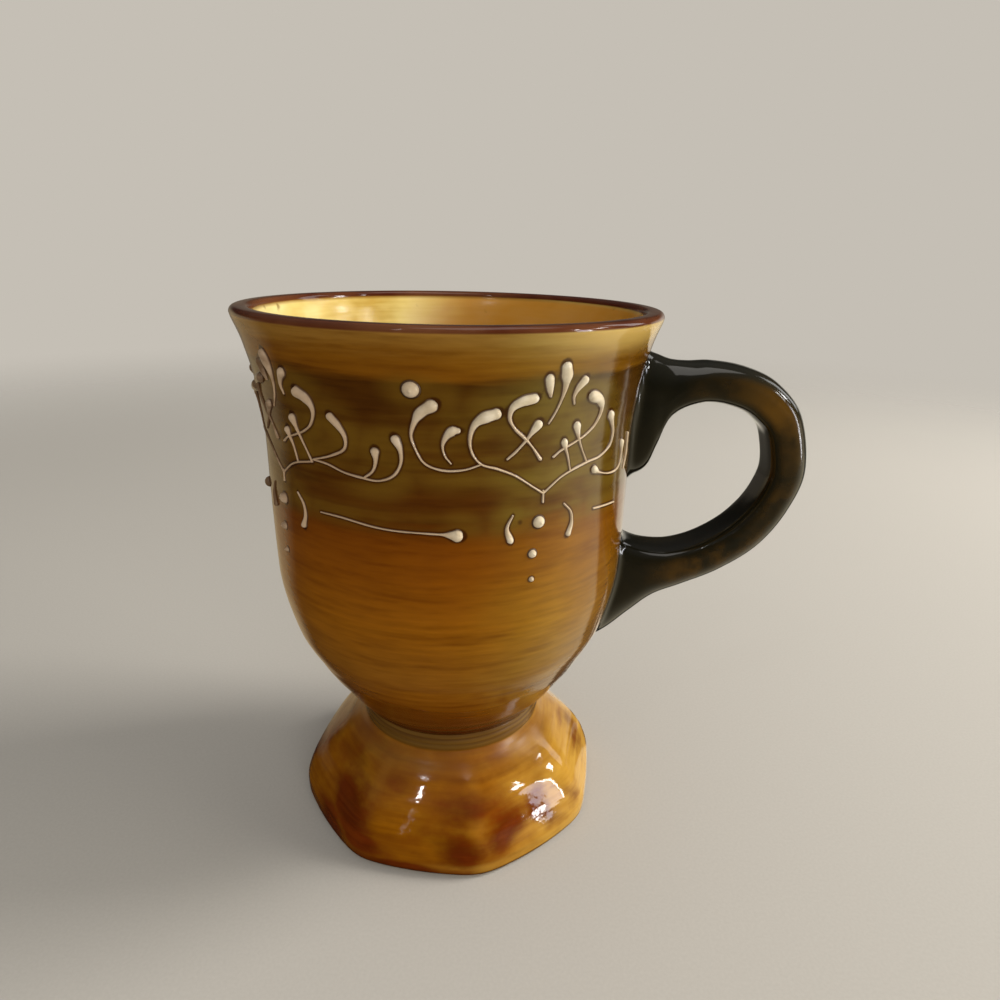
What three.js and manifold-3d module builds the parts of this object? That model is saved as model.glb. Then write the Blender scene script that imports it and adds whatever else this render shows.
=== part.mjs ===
// Footed mug: a thrown bowl on a faceted pedestal foot, with a pulled handle and piped slip ornament.
// Millimetres, +Z up, the handle towards +X. A turn is an angle in degrees from the front (-Y) towards +X.
import * as THREE from "three";
import { mergeVertices } from "three/addons/utils/BufferGeometryUtils.js";
import Module from "manifold-3d";

const wasm = await Module();
wasm.setup();

// Bowl
const RIM_HEIGHT = 127;
const RIM_RADIUS = 47;
const WAIST_RADIUS = 42;
const NECK_RADIUS = 22.9;
const BOWL_WALL = 4.2;
const LIP_ROUND = 1.2;
const BOWL_FLOOR = 6;
const FILLET_HEIGHT = 9;
const FILLET_REACH = 18;

// Pedestal foot
const FOOT_HEIGHT = 28.3;
const FOOT_RADIUS = 39.8;
const FOOT_WALL = 6.5;
const STANDING_WIDTH = 4;
const FOOT_EDGE = 1.4;
const COLLAR_HEIGHT = 4.9;
const COLLAR_PROUD = 0.6;
const FACET_DEPTH = 2.2;

// Handle
const HANDLE_REACH = 41;
const HANDLE_RISE = 76;
const HANDLE_LOW = 44;
const STRAP_THICKNESS = 8.8;
const STRAP_WIDTH = 12.4;
const UPPER_ROOT = 27.5;
const LOWER_ROOT = 26.5;
const ROOT_WIDTH = 15.5;

// Slip ornament
const ORNAMENT_DROP = 31.6;
const ORNAMENT_RISE = 25;
const ORNAMENT_TURN = 50;
const BLOB_WIDTH = 2.4;
const SLIP_PROUD = 1.1;
const STROKE_STEP = 2;

// Film of joining slip or glaze between two pieces
const JOIN_GAP = 0.3;

// Number of faces
const AROUND = 48;
const FACETS = 8;
const STRAP_SIDES = 16;
const STRAP_STEPS = 34;
const DOT_SIDES = 8;

// Squareness of the strap's rounded section: 2 is an ellipse
const STRAP_SQUARE = 4.2;

const glaze = (colour, roughness) =>
  new THREE.MeshStandardMaterial({ color: colour, roughness, metalness: 0 });
const bowlGlaze = glaze(0x8a5a1c, 0.18);
const footGlaze = glaze(0xb47a24, 0.18);
const handleGlaze = glaze(0x2c2413, 0.15);
const creamSlip = glaze(0xd9cdb4, 0.22);

// A monotone cubic through [position, value] pairs, so a profile never bulges between its points.
function monotone(points) {
  const slope = points.slice(1).map((p, i) => (p[1] - points[i][1]) / (p[0] - points[i][0]));
  const tangent = points.map((p, i) => {
    const before = slope[i - 1];
    const after = slope[i];
    if (before === undefined || after === undefined) return before ?? after;
    if (before * after <= 0) return 0;
    return (2 * before * after) / (before + after);
  });
  return (x) => {
    const last = points.length - 2;
    let i = points.findIndex((p) => p[0] > x) - 1;
    i = i < 0 ? (x < points[0][0] ? 0 : last) : i;
    const [x0, y0] = points[i];
    const [x1, y1] = points[i + 1];
    const t = THREE.MathUtils.clamp((x - x0) / (x1 - x0), 0, 1);
    const h = x1 - x0;
    const rise = (3 - 2 * t) * t * t;
    const enter = t * (1 - t) * (1 - t);
    const leave = t * t * (t - 1);
    return y0 + (y1 - y0) * rise + h * (enter * tangent[i] + leave * tangent[i + 1]);
  };
}

const mix = THREE.MathUtils.lerp;
const radians = THREE.MathUtils.degToRad;

// A point at a turn, a radius and a height.
function around(turn, radius, height) {
  return new THREE.Vector3(radius * Math.sin(radians(turn)), -radius * Math.cos(radians(turn)), height);
}

// A closed skin over a stack of rings with equal counts, with a point or a flat fan at each end.
function skin(rings, first, last) {
  const count = rings[0].length;
  const points = [first, ...rings.flat(), last];
  const index = [];
  for (let i = 0; i < count; i++) {
    const j = (i + 1) % count;
    index.push(0, 1 + j, 1 + i);
    for (let k = 0; k + 1 < rings.length; k++) {
      const low = 1 + k * count;
      const high = low + count;
      index.push(low + i, low + j, high + j, low + i, high + j, high + i);
    }
    const top = 1 + (rings.length - 1) * count;
    index.push(top + i, top + j, points.length - 1);
  }
  return new THREE.BufferGeometry().setFromPoints(points).setIndex(index);
}

// A skin of rings that close on themselves, as a pipe wall does.
function ringWall(rings) {
  const count = rings[0].length;
  const index = [];
  for (let k = 0; k < rings.length; k++) {
    const low = k * count;
    const high = ((k + 1) % rings.length) * count;
    for (let i = 0; i < count; i++) {
      const j = (i + 1) % count;
      index.push(low + i, low + j, high + j, low + i, high + j, high + i);
    }
  }
  return new THREE.BufferGeometry().setFromPoints(rings.flat()).setIndex(index);
}

function solidOf(geometry) {
  const bare = geometry.clone();
  bare.deleteAttribute("normal");
  bare.deleteAttribute("uv");
  const merged = mergeVertices(bare, 1e-5);
  return new wasm.Manifold(
    new wasm.Mesh({
      numProp: 3,
      vertProperties: new Float32Array(merged.attributes.position.array),
      triVerts: new Uint32Array(merged.index.array),
    }),
  );
}

function geometryOf(solid) {
  const made = solid.getMesh();
  const geometry = new THREE.BufferGeometry();
  geometry.setAttribute("position", new THREE.BufferAttribute(made.vertProperties, 3));
  geometry.setIndex(new THREE.BufferAttribute(made.triVerts, 1));
  geometry.computeVertexNormals();
  return geometry;
}

// A profile of [radius, height] points turned about the upright axis.
function turned(profile, sides) {
  return new THREE.LatheGeometry(profile, sides).rotateX(Math.PI / 2);
}

const mug = new THREE.Group();

function add(name, geometry, material) {
  geometry.computeVertexNormals();
  const mesh = new THREE.Mesh(geometry, material);
  mesh.name = name;
  mug.add(mesh);
  return mesh;
}

// Bowl: a round belly on a narrow neck, a nearly upright wall and a flared rim with a flat lip.
const bowlBase = FOOT_HEIGHT + JOIN_GAP;
const bowlHeight = RIM_HEIGHT - bowlBase;
const bellyShares = [
  [0, 0.04],
  [0.01, 0.085],
  [0.053, 0.25],
  [0.101, 0.42],
  [0.163, 0.613],
  [0.26, 0.847],
  [0.404, 0.985],
  [0.58, 1],
];
const flareShares = [
  [0.716, 0.005],
  [0.836, 0.21],
  [0.932, 0.62],
  [0.985, 1],
];
const wallRadius = monotone([
  ...bellyShares.map(([up, out]) => [bowlBase + up * bowlHeight, mix(NECK_RADIUS, WAIST_RADIUS, out)]),
  ...flareShares.map(([up, out]) => [bowlBase + up * bowlHeight, mix(WAIST_RADIUS, RIM_RADIUS, out)]),
]);

function bowlProfile() {
  const floorHeight = bowlBase + BOWL_FLOOR;
  const stepShares = [0, 0.02, 0.053, 0.09, 0.14, 0.2, 0.27, 0.36, 0.48, 0.62, 0.73, 0.81, 0.88, 0.94];
  const profile = [new THREE.Vector2(0, bowlBase)];
  for (const up of stepShares) {
    const height = bowlBase + up * bowlHeight;
    profile.push(new THREE.Vector2(wallRadius(height), height));
  }
  const lipEdges = [
    [RIM_RADIUS - LIP_ROUND, 0],
    [RIM_RADIUS - BOWL_WALL + LIP_ROUND, Math.PI / 2],
  ];
  const edgeSteps = 3;
  for (const [centre, from] of lipEdges) {
    for (let i = 0; i <= edgeSteps; i++) {
      const turn = from + (Math.PI / 2) * (i / edgeSteps);
      const out = centre + LIP_ROUND * Math.cos(turn);
      profile.push(new THREE.Vector2(out, RIM_HEIGHT - LIP_ROUND + LIP_ROUND * Math.sin(turn)));
    }
  }
  const innerShares = [0.93, 0.87, 0.79, 0.7, 0.58, 0.45, 0.34, 0.26, 0.19];
  for (const up of innerShares) {
    const height = bowlBase + up * bowlHeight;
    profile.push(new THREE.Vector2(innerRadius(height), height));
  }
  const filletSteps = 4;
  const filletTop = floorHeight + FILLET_HEIGHT;
  const filletOut = innerRadius(filletTop);
  for (let i = 0; i <= filletSteps; i++) {
    const turn = (Math.PI / 2) * (i / filletSteps);
    const out = filletOut - FILLET_REACH * (1 - Math.cos(turn));
    profile.push(new THREE.Vector2(out, filletTop - FILLET_HEIGHT * Math.sin(turn)));
  }
  profile.push(new THREE.Vector2(0, floorHeight));
  return profile;
}

// The inside follows the outside one wall away, square to it.
function innerRadius(height) {
  const step = BOWL_WALL / 4;
  const lean = Math.atan2(wallRadius(height + step) - wallRadius(height - step), 2 * step);
  return wallRadius(height - BOWL_WALL * Math.sin(lean)) - BOWL_WALL * Math.cos(lean);
}

add("bowl", turned(bowlProfile(), AROUND), bowlGlaze);

// Foot: a hollow flared ring, pressed into eight hollow facets below a rolled collar.
const cornerTurns = [-73, -28, 17, 64, 105, 150, 197, 241];
const flareTop = FOOT_HEIGHT - COLLAR_HEIGHT;
const flareOutShares = [
  [0, 0.975],
  [0.06, 0.995],
  [0.15, 1],
  [0.34, 0.93],
  [0.56, 0.72],
  [0.77, 0.38],
  [0.93, 0.09],
  [1, 0],
];
const facetShares = [
  [0, 0.75],
  [0.15, 0.8],
  [0.4, 0.95],
  [0.65, 0.8],
  [0.88, 0.3],
  [1, 0],
];
const collarOutShares = [
  [0.16, 0.3],
  [0.5, 0.4],
  [0.82, 0.1],
  [1, -0.4],
];
const collarFoot = NECK_RADIUS + COLLAR_PROUD / 2;
const flareRadius = monotone(
  flareOutShares.map(([up, out]) => [up * flareTop, mix(collarFoot, FOOT_RADIUS, out)]),
);
const facetDepth = monotone(facetShares.map(([up, depth]) => [up * flareTop, depth * FACET_DEPTH]));

function facetedRing(height) {
  const perFacet = AROUND / FACETS;
  const ring = [];
  cornerTurns.forEach((corner, k) => {
    const next = k + 1 < FACETS ? cornerTurns[k + 1] : cornerTurns[0] + 360;
    const half = (next - corner) / 2;
    for (let i = 0; i < perFacet; i++) {
      const turn = mix(corner, next, i / perFacet);
      const off = turn - corner - half;
      const sag = 1 - Math.cos(radians(half));
      const press = (1 - Math.cos(radians(half)) / Math.cos(radians(off))) / sag;
      ring.push(around(turn, flareRadius(height) - facetDepth(height) * press, height));
    }
  });
  return ring;
}

// A ring of the same turns drawn in by a distance, at a height of its own.
function drawnIn(ring, inset, height) {
  return ring.map((p) => {
    const radius = Math.hypot(p.x, p.y);
    const keep = (radius - inset) / radius;
    return new THREE.Vector3(p.x * keep, p.y * keep, height);
  });
}

function footGeometry() {
  const flareStepShares = [0.16, 0.3, 0.46, 0.62, 0.78, 0.92, 1];
  const outside = flareStepShares.map((up) => facetedRing(up * flareTop));
  const base = facetedRing(0);
  const collar = collarOutShares.map(([up, out]) =>
    drawnIn(facetedRing(flareTop), -out * COLLAR_PROUD, flareTop + up * COLLAR_HEIGHT),
  );
  const insideShares = [1, 0.9, 0.68, 0.42, 0.18];
  const inside = insideShares.map((up) => {
    const height = up * FOOT_HEIGHT;
    return drawnIn(facetedRing(Math.min(height, flareTop)), FOOT_WALL, height);
  });
  return ringWall([
    drawnIn(base, FOOT_EDGE / 2, 0),
    facetedRing(FOOT_EDGE),
    ...outside,
    ...collar,
    ...inside,
    drawnIn(base, FOOT_EDGE / 2 + STANDING_WIDTH, 0),
  ]);
}

add("foot", footGeometry(), footGlaze);

// Handle: a pulled strap. Each station gives its outer point as shares of the reach and rise, then how far
// its section has grown from the strap to the root, in depth and in width.
const stationShares = [
  [-0.15, 1.004, 1.28, 1.2],
  [0.1, 0.967, 0.92, 0.8],
  [0.195, 0.95, 0.6, 0.5],
  [0.293, 0.946, 0.2, 0.3],
  [0.415, 0.949, 0.03, 0.15],
  [0.61, 0.934, 0.01, 0.05],
  [0.787, 0.891, 0.03, 0],
  [0.935, 0.798, 0.02, 0],
  [1.003, 0.625, 0.01, 0],
  [0.939, 0.5, 0, 0],
  [0.807, 0.383, 0.03, 0],
  [0.59, 0.288, 0.04, 0.05],
  [0.376, 0.229, 0.09, 0.15],
  [0.207, 0.184, 0.25, 0.3],
  [0.073, 0.117, 0.59, 0.45],
  [-0.049, 0.051, 1, 0.6],
  [-0.17, 0.003, 1.3, 0.7],
];
const leanAngles = [
  -90, -91, -97, -106, -104, -107, -124, -148, -180, -205, -220, -238, -254, -264, -269, -270, -270,
];

function handleGeometry() {
  const last = stationShares.length - 1;
  const path = new THREE.CatmullRomCurve3(
    stationShares.map(
      ([out, up]) => new THREE.Vector3(WAIST_RADIUS + out * HANDLE_REACH, 0, HANDLE_LOW + up * HANDLE_RISE),
    ),
    false,
    "centripetal",
  );
  const rings = [];
  for (let s = 0; s <= STRAP_STEPS; s++) {
    const at = s / STRAP_STEPS;
    const outer = path.getPoint(at);
    const index = Math.min(last - 1, Math.floor(at * last));
    const local = at * last - index;
    const deep = mix(stationShares[index][2], stationShares[index + 1][2], local);
    const wide = mix(stationShares[index][3], stationShares[index + 1][3], local);
    const lean = radians(mix(leanAngles[index], leanAngles[index + 1], local));
    const root = at < 0.5 ? UPPER_ROOT : LOWER_ROOT;
    const thickness = STRAP_THICKNESS + deep * (root - STRAP_THICKNESS);
    const width = STRAP_WIDTH + wide * (ROOT_WIDTH - STRAP_WIDTH);
    const across = new THREE.Vector3(Math.cos(lean), 0, Math.sin(lean));
    const centre = outer.clone().addScaledVector(across, thickness / 2);
    const ring = [];
    for (let i = 0; i < STRAP_SIDES; i++) {
      const turn = (2 * Math.PI * i) / STRAP_SIDES;
      const c = Math.cos(turn);
      const d = Math.sin(turn);
      const soft = Math.pow(Math.abs(c) ** STRAP_SQUARE + Math.abs(d) ** STRAP_SQUARE, -1 / STRAP_SQUARE);
      const point = centre.clone().addScaledVector(across, (-c * soft * thickness) / 2);
      point.y = (-d * soft * width) / 2;
      ring.push(point);
    }
    rings.push(ring);
  }
  const middle = (ring) => ring.reduce((sum, p) => sum.add(p), new THREE.Vector3()).divideScalar(STRAP_SIDES);
  return skin(rings, middle(rings[0]), middle(rings[STRAP_STEPS]));
}

// The space the bowl takes up, with the joining film round it: the handle's roots are cut to it.
function bowlSpace() {
  const steps = 20;
  const profile = [new THREE.Vector2(0, bowlBase)];
  for (let i = 0; i <= steps; i++) {
    const height = mix(bowlBase, RIM_HEIGHT, i / steps);
    profile.push(new THREE.Vector2(wallRadius(height) + JOIN_GAP, height));
  }
  profile.push(new THREE.Vector2(0, RIM_HEIGHT));
  return solidOf(turned(profile, 2 * AROUND));
}

const handleSolid = solidOf(handleGeometry()).subtract(bowlSpace());
add("handle", geometryOf(handleSolid), handleGlaze);

// Slip strokes. A point is a share of the ornament's turn, of its rise and of a full blob's width.
const ornamentHeight = RIM_HEIGHT - ORNAMENT_DROP;
const leftArmShares = [
  [0, 0, 0.26],
  [-0.06, 0.06, 0.24],
  [-0.17, 0.17, 0.22],
  [-0.26, 0.23, 0.32],
  [-0.34, 0.27, 0.24],
  [-0.385, 0.35, 0.3],
  [-0.4, 0.46, 0.42],
  [-0.38, 0.57, 0.7],
  [-0.34, 0.62, 0.95],
  [-0.28, 0.65, 0.9],
];
const bigCurlShares = [
  [-0.34, 0.27, 0.24],
  [-0.43, 0.23, 0.24],
  [-0.54, 0.23, 0.3],
  [-0.62, 0.28, 0.26],
  [-0.66, 0.38, 0.28],
  [-0.68, 0.49, 0.38],
  [-0.66, 0.59, 0.66],
  [-0.63, 0.66, 0.9],
  [-0.58, 0.71, 1],
];
const pointShares = [
  [0, 0.02, 0.28],
  [0, -0.07, 0.34],
];
const rightArmShares = [
  [0, 0, 0.26],
  [0.1, 0.1, 0.24],
  [0.17, 0.14, 0.26],
  [0.29, 0.18, 0.32],
  [0.41, 0.2, 0.28],
  [0.5, 0.27, 0.34],
  [0.51, 0.37, 0.42],
  [0.48, 0.46, 0.66],
  [0.45, 0.53, 0.6],
];
const upperStemShares = [
  [0.29, 0.18, 0.3],
  [0.23, 0.33, 0.26],
  [0.2, 0.42, 0.6],
  [0.18, 0.51, 0.62],
];
const lowerStemShares = [
  [0.17, 0.14, 0.24],
  [0.14, 0.28, 0.32],
  [0.12, 0.34, 0.58],
  [0.11, 0.39, 0.5],
];
const hookShares = [
  [0.26, 0.72, 0.95],
  [0.32, 0.68, 0.9],
  [0.35, 0.6, 0.6],
  [0.32, 0.49, 0.36],
  [0.26, 0.42, 0.3],
  [0.18, 0.37, 0.26],
  [0.09, 0.32, 0.3],
  [0.05, 0.28, 0.34],
];
const vineShares = [
  [0.3, 0.2, 0.28],
  [0.4, 0.19, 0.24],
  [0.5, 0.15, 0.24],
  [0.6, 0.13, 0.3],
  [0.7, 0.12, 0.26],
  [0.78, 0.17, 0.34],
  [0.82, 0.27, 0.42],
  [0.82, 0.38, 0.62],
  [0.8, 0.46, 0.6],
];
const shortBranchShares = [
  [0.62, 0.13, 0.26],
  [0.67, 0.19, 0.36],
  [0.69, 0.27, 0.5],
  [0.69, 0.35, 0.52],
];
const tallBranchShares = [
  [0.3, 0.2, 0.26],
  [0.44, 0.27, 0.34],
  [0.52, 0.34, 0.42],
  [0.53, 0.43, 0.56],
  [0.5, 0.51, 0.66],
  [0.46, 0.58, 0.6],
];
const smallCurlShares = [
  [-0.49, 0.28, 0.2],
  [-0.52, 0.34, 0.24],
  [-0.53, 0.42, 0.36],
  [-0.51, 0.49, 0.7],
  [-0.48, 0.53, 0.85],
  [-0.46, 0.53, 0.7],
];
const swanShares = [
  [-0.1, 0.75, 0.8],
  [-0.16, 0.73, 0.85],
  [-0.2, 0.69, 0.7],
  [-0.21, 0.61, 0.5],
  [-0.18, 0.53, 0.36],
  [-0.13, 0.46, 0.42],
  [-0.08, 0.38, 0.26],
  [-0.03, 0.28, 0.5],
];
const crossShares = [
  [-0.06, 0.55, 0.85],
  [-0.09, 0.49, 0.6],
  [-0.12, 0.43, 0.38],
  [-0.17, 0.35, 0.32],
  [-0.21, 0.3, 0.28],
];
const tallDropShares = [
  [0.05, 1, 0.95],
  [0.06, 0.93, 1],
  [0.065, 0.85, 0.7],
  [0.06, 0.76, 0.4],
  [0.035, 0.64, 0.28],
  [0, 0.55, 0.2],
];
const shortDropShares = [
  [-0.03, 0.89, 0.85],
  [-0.02, 0.82, 0.75],
  [-0.01, 0.76, 0.36],
];
const leaningDropShares = [
  [0.18, 0.87, 0.56],
  [0.14, 0.8, 0.56],
  [0.13, 0.74, 0.36],
  [0.14, 0.68, 0.24],
];
const leftCommaShares = [
  [-0.17, -0.15, 0.24],
  [-0.2, -0.25, 0.5],
  [-0.18, -0.35, 0.74],
];
const rightCommaShares = [
  [0.14, -0.12, 0.24],
  [0.19, -0.2, 0.34],
  [0.2, -0.29, 0.52],
  [0.18, -0.38, 0.74],
];
const tailShares = [
  [-1.23, -0.22, 0.2],
  [-1.09, -0.22, 0.24],
  [-0.84, -0.26, 0.22],
  [-0.62, -0.27, 0.24],
  [-0.53, -0.275, 0.6],
  [-0.46, -0.285, 1],
];
const dotShares = [-0.67, 0.825, 1.2];
const pendantShares = [
  [-0.02, -0.23, 1],
  [-0.05, -0.49, 0.68],
  [-0.05, -0.71, 0.42],
];
const sprigShares = [
  [0.36, 0.11, 0.6],
  [0.41, 0.06, 0.36],
  [0.55, 0.01, 0.3],
  [0.65, 0.03, 0.28],
  [0.68, 0.13, 0.32],
  [0.66, 0.25, 0.5],
];
const spikeShares = [
  [0.75, -0.03, 0.24],
  [0.79, 0.11, 0.32],
  [0.77, 0.28, 0.46],
];
const dashShares = [
  [0.38, -0.24, 0.32],
  [0.62, -0.28, 0.26],
];

// The section of a stroke: shares of its width and of its height off the wall.
const domeShares = [
  [-0.5, 0],
  [0.5, 0],
  [0.34, 0.72],
  [0, 1],
  [-0.34, 0.72],
];

// One stroke as a solid: a low dome of slip along its points, on the wall at the place of its ornament.
function stroke(points, place) {
  const line = new THREE.CatmullRomCurve3(
    points.map(([turnShare, riseShare, widthShare]) => {
      const turn = place.turn + turnShare * ORNAMENT_TURN * place.stretch;
      const height = ornamentHeight + riseShare * ORNAMENT_RISE;
      const arc = radians(turn) * WAIST_RADIUS;
      return new THREE.Vector3(arc, height, widthShare * BLOB_WIDTH);
    }),
    false,
    "centripetal",
  );
  const length = line.getLength();
  const steps = Math.max(4, Math.round(length / STROKE_STEP) + 2);
  const startRound = (points[0][2] * BLOB_WIDTH) / 2;
  const endRound = (points[points.length - 1][2] * BLOB_WIDTH) / 2;
  const rings = [];
  const tip = (at, slack) => {
    const p = line.getPointAt(at);
    const way = line.getTangentAt(at);
    return onWall(p.x + way.x * slack, p.y + way.y * slack, JOIN_GAP);
  };
  for (let s = 0; s <= steps; s++) {
    const at = s / steps;
    const p = line.getPointAt(at);
    const way = line.getTangentAt(at);
    const flat = Math.hypot(way.x, way.y);
    const side = [-way.y / flat, way.x / flat];
    const width = p.z;
    const height = SLIP_PROUD * Math.sqrt(width / BLOB_WIDTH);
    rings.push(
      domeShares.map(([out, up]) => {
        const off = out * width;
        return onWall(p.x + side[0] * off, p.y + side[1] * off, JOIN_GAP + up * height);
      }),
    );
  }
  return solidOf(skin(rings, tip(0, -startRound), tip(1, endRound)));
}

// A point on the wall at an arc length round the waist and a height, standing off the glaze.
function onWall(arc, height, off) {
  const turn = THREE.MathUtils.radToDeg(arc / WAIST_RADIUS);
  return around(turn, wallRadius(height) + off, height);
}

// A dot of slip: a low dome on a round base.
function dot([turnShare, riseShare, widthShare], place) {
  const arc = radians(place.turn + turnShare * ORNAMENT_TURN * place.stretch) * WAIST_RADIUS;
  const height = ornamentHeight + riseShare * ORNAMENT_RISE;
  const radius = (widthShare * BLOB_WIDTH) / 2;
  const proud = SLIP_PROUD * Math.sqrt(widthShare);
  const ring = (share, up) => {
    const points = [];
    for (let i = 0; i < DOT_SIDES; i++) {
      const turn = (2 * Math.PI * i) / DOT_SIDES;
      const out = radius * share;
      points.push(onWall(arc + out * Math.cos(turn), height + out * Math.sin(turn), JOIN_GAP + up * proud));
    }
    return points;
  };
  const foot = onWall(arc, height, JOIN_GAP);
  return solidOf(skin([ring(1, 0), ring(0.75, 0.7)], foot, onWall(arc, height, JOIN_GAP + proud)));
}

function addSlip(name, solids) {
  const [first, ...rest] = solids;
  const joined = rest.reduce((sum, one) => sum.add(one), first);
  add(name, geometryOf(joined), creamSlip);
}

// Four repeats of the ornament round the bowl, the last gap left for the handle.
const places = [
  { name: "front", turn: 31.4, stretch: 1, vine: false, tail: true, sprig: true },
  { name: "left", turn: -46.5, stretch: 1, vine: true, tail: true, sprig: false },
  { name: "back", turn: -132, stretch: 1.03, vine: false, tail: true, sprig: false },
  { name: "right", turn: 140, stretch: 0.96, vine: true, tail: false, sprig: false },
];

for (const place of places) {
  const trunk = [leftArmShares, bigCurlShares, pointShares, upperStemShares, lowerStemShares, hookShares];
  const vine = [rightArmShares.slice(0, 4), vineShares, shortBranchShares, tallBranchShares];
  const arm = place.vine ? vine : [rightArmShares];
  addSlip(`scroll_${place.name}`, [...trunk, ...arm].map((points) => stroke(points, place)));
  addSlip(`curl_${place.name}`, [stroke(smallCurlShares, place)]);
  addSlip(`swan_${place.name}`, [stroke(swanShares, place), stroke(crossShares, place)]);
  addSlip(`tall_drop_${place.name}`, [stroke(tallDropShares, place)]);
  addSlip(`short_drop_${place.name}`, [stroke(shortDropShares, place)]);
  addSlip(`leaning_drop_${place.name}`, [stroke(leaningDropShares, place)]);
  addSlip(`dot_${place.name}`, [dot(dotShares, place)]);
  addSlip(`comma_${place.name}_1`, [stroke(leftCommaShares, place)]);
  addSlip(`comma_${place.name}_2`, [stroke(rightCommaShares, place)]);
  pendantShares.forEach((shares, i) => addSlip(`pendant_${place.name}_${i + 1}`, [dot(shares, place)]));
  if (place.tail) addSlip(`tail_${place.name}`, [stroke(tailShares, place)]);
  if (place.sprig) {
    addSlip(`sprig_${place.name}`, [stroke(sprigShares, place)]);
    addSlip(`spike_${place.name}`, [stroke(spikeShares, place)]);
    addSlip(`dash_${place.name}`, [stroke(dashShares, place)]);
  }
}

// The origin is the middle of the mug's box, on the table.
const box = new THREE.Box3().setFromObject(mug);
const middle = box.getCenter(new THREE.Vector3());
mug.position.set(-middle.x, -middle.y, -box.min.z);

const part = new THREE.Group();
part.add(mug);

export default part;
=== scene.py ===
"""Looks of a footed mug in glazed stoneware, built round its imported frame.

Metres, +Z up, the handle towards +X. A turn is an angle round the bowl's axis, in degrees from the front
(-Y) towards +X, and a height is measured from the table.
"""

import math

import bpy
import numpy as np
from mathutils import Matrix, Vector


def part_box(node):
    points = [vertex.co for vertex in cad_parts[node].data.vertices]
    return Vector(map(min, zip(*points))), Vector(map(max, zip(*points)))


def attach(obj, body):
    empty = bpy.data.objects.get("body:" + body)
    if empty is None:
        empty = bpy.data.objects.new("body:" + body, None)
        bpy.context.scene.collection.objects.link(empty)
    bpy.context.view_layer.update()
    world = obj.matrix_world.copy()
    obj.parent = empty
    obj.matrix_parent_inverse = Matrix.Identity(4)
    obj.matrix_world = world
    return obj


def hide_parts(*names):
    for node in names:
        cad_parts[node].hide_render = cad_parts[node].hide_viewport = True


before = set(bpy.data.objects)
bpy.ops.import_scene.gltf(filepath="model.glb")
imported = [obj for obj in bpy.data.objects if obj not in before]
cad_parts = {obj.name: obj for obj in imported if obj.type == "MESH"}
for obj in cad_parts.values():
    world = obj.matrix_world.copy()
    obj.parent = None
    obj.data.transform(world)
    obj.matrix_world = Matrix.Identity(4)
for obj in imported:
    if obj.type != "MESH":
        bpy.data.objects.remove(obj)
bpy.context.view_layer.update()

# The bowl is thrown on the wheel in one piece of pale clay: a round belly on a narrow neck, a nearly
# upright wall and a flared lip. Brushed bands of glaze run round it, amber below and dark olive under the
# rim, the inside is poured honey yellow, and the lip is wiped back to a red-brown wash.
MM = 0.001
RIM_HEIGHT = 127 * MM
RIM_RADIUS = 47 * MM
WAIST_RADIUS = 42 * MM
NECK_RADIUS = 22.9 * MM
BOWL_WALL = 4.2 * MM
LIP_ROUND = 1.2 * MM
BASE_ROUND = 0.5 * MM
BOWL_FLOOR = 6 * MM
FILLET_HEIGHT = 9 * MM
FILLET_REACH = 18 * MM
FOOT_HEIGHT = 28.3 * MM
JOIN_GAP = 0.3 * MM
BOWL_BASE = FOOT_HEIGHT + JOIN_GAP
INNER_EDGE = 0.8 * MM
# How deep fingers leave their rings on the upper wall, on the belly and inside, and where the belly's
# rings fade; then the height over which the sine of a fine and of a broad ring goes on by one radian.
PRESS_UPPER = 0.012 * MM
PRESS_BELLY = 0.1 * MM
PRESS_INSIDE = 0.12 * MM
BELLY_FADE = (60 * MM, 36 * MM)
FINE_RING = 0.62 * MM
BROAD_RING = 1.35 * MM
# The grooves above the base: height, depth and half width.
BASE_GROOVES = [
    [30.2 * MM, 0.3 * MM, 0.28 * MM],
    [32.3 * MM, 0.22 * MM, 0.35 * MM],
]
# Rings of the mesh: those under the base and on the floor as shares of their radius, how high each
# stretch of the wall reaches and how many rings it has, then the rings of the lip, of the inside, of its
# fillet and of two edges, and the points of each ring. It is finest where the ornament lies.
BASE_SHARES = [0.3, 0.7, 0.9]
FLOOR_SHARES = [0.8, 0.5, 0.2]
WALL_STRETCHES = [[34 * MM, 28], [76 * MM, 32], [121 * MM, 100]]
LIP_RINGS = 6
INSIDE_RINGS = 38
FILLET_RINGS = 14
BASE_EDGE_RINGS = 6
LIP_EDGE_RINGS = 7
AROUND = 408
# The kinds of ring.
EDGE, OUTSIDE, INSIDE, FLOOR = range(4)
# The wall's profile: a share of the bowl's height, then a share of the way out from the neck to the waist
# or from the waist to the rim.
WALL_SHARES = [
    [0, 0.04],
    [0.01, 0.085],
    [0.053, 0.25],
    [0.101, 0.42],
    [0.163, 0.613],
    [0.26, 0.847],
    [0.404, 0.985],
    [0.58, 1],
]
FLARE_SHARES = [
    [0.716, 0.005],
    [0.836, 0.21],
    [0.932, 0.62],
    [0.985, 1],
]
AXIS = float(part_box("bowl")[0].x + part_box("bowl")[1].x) / 2


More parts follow.
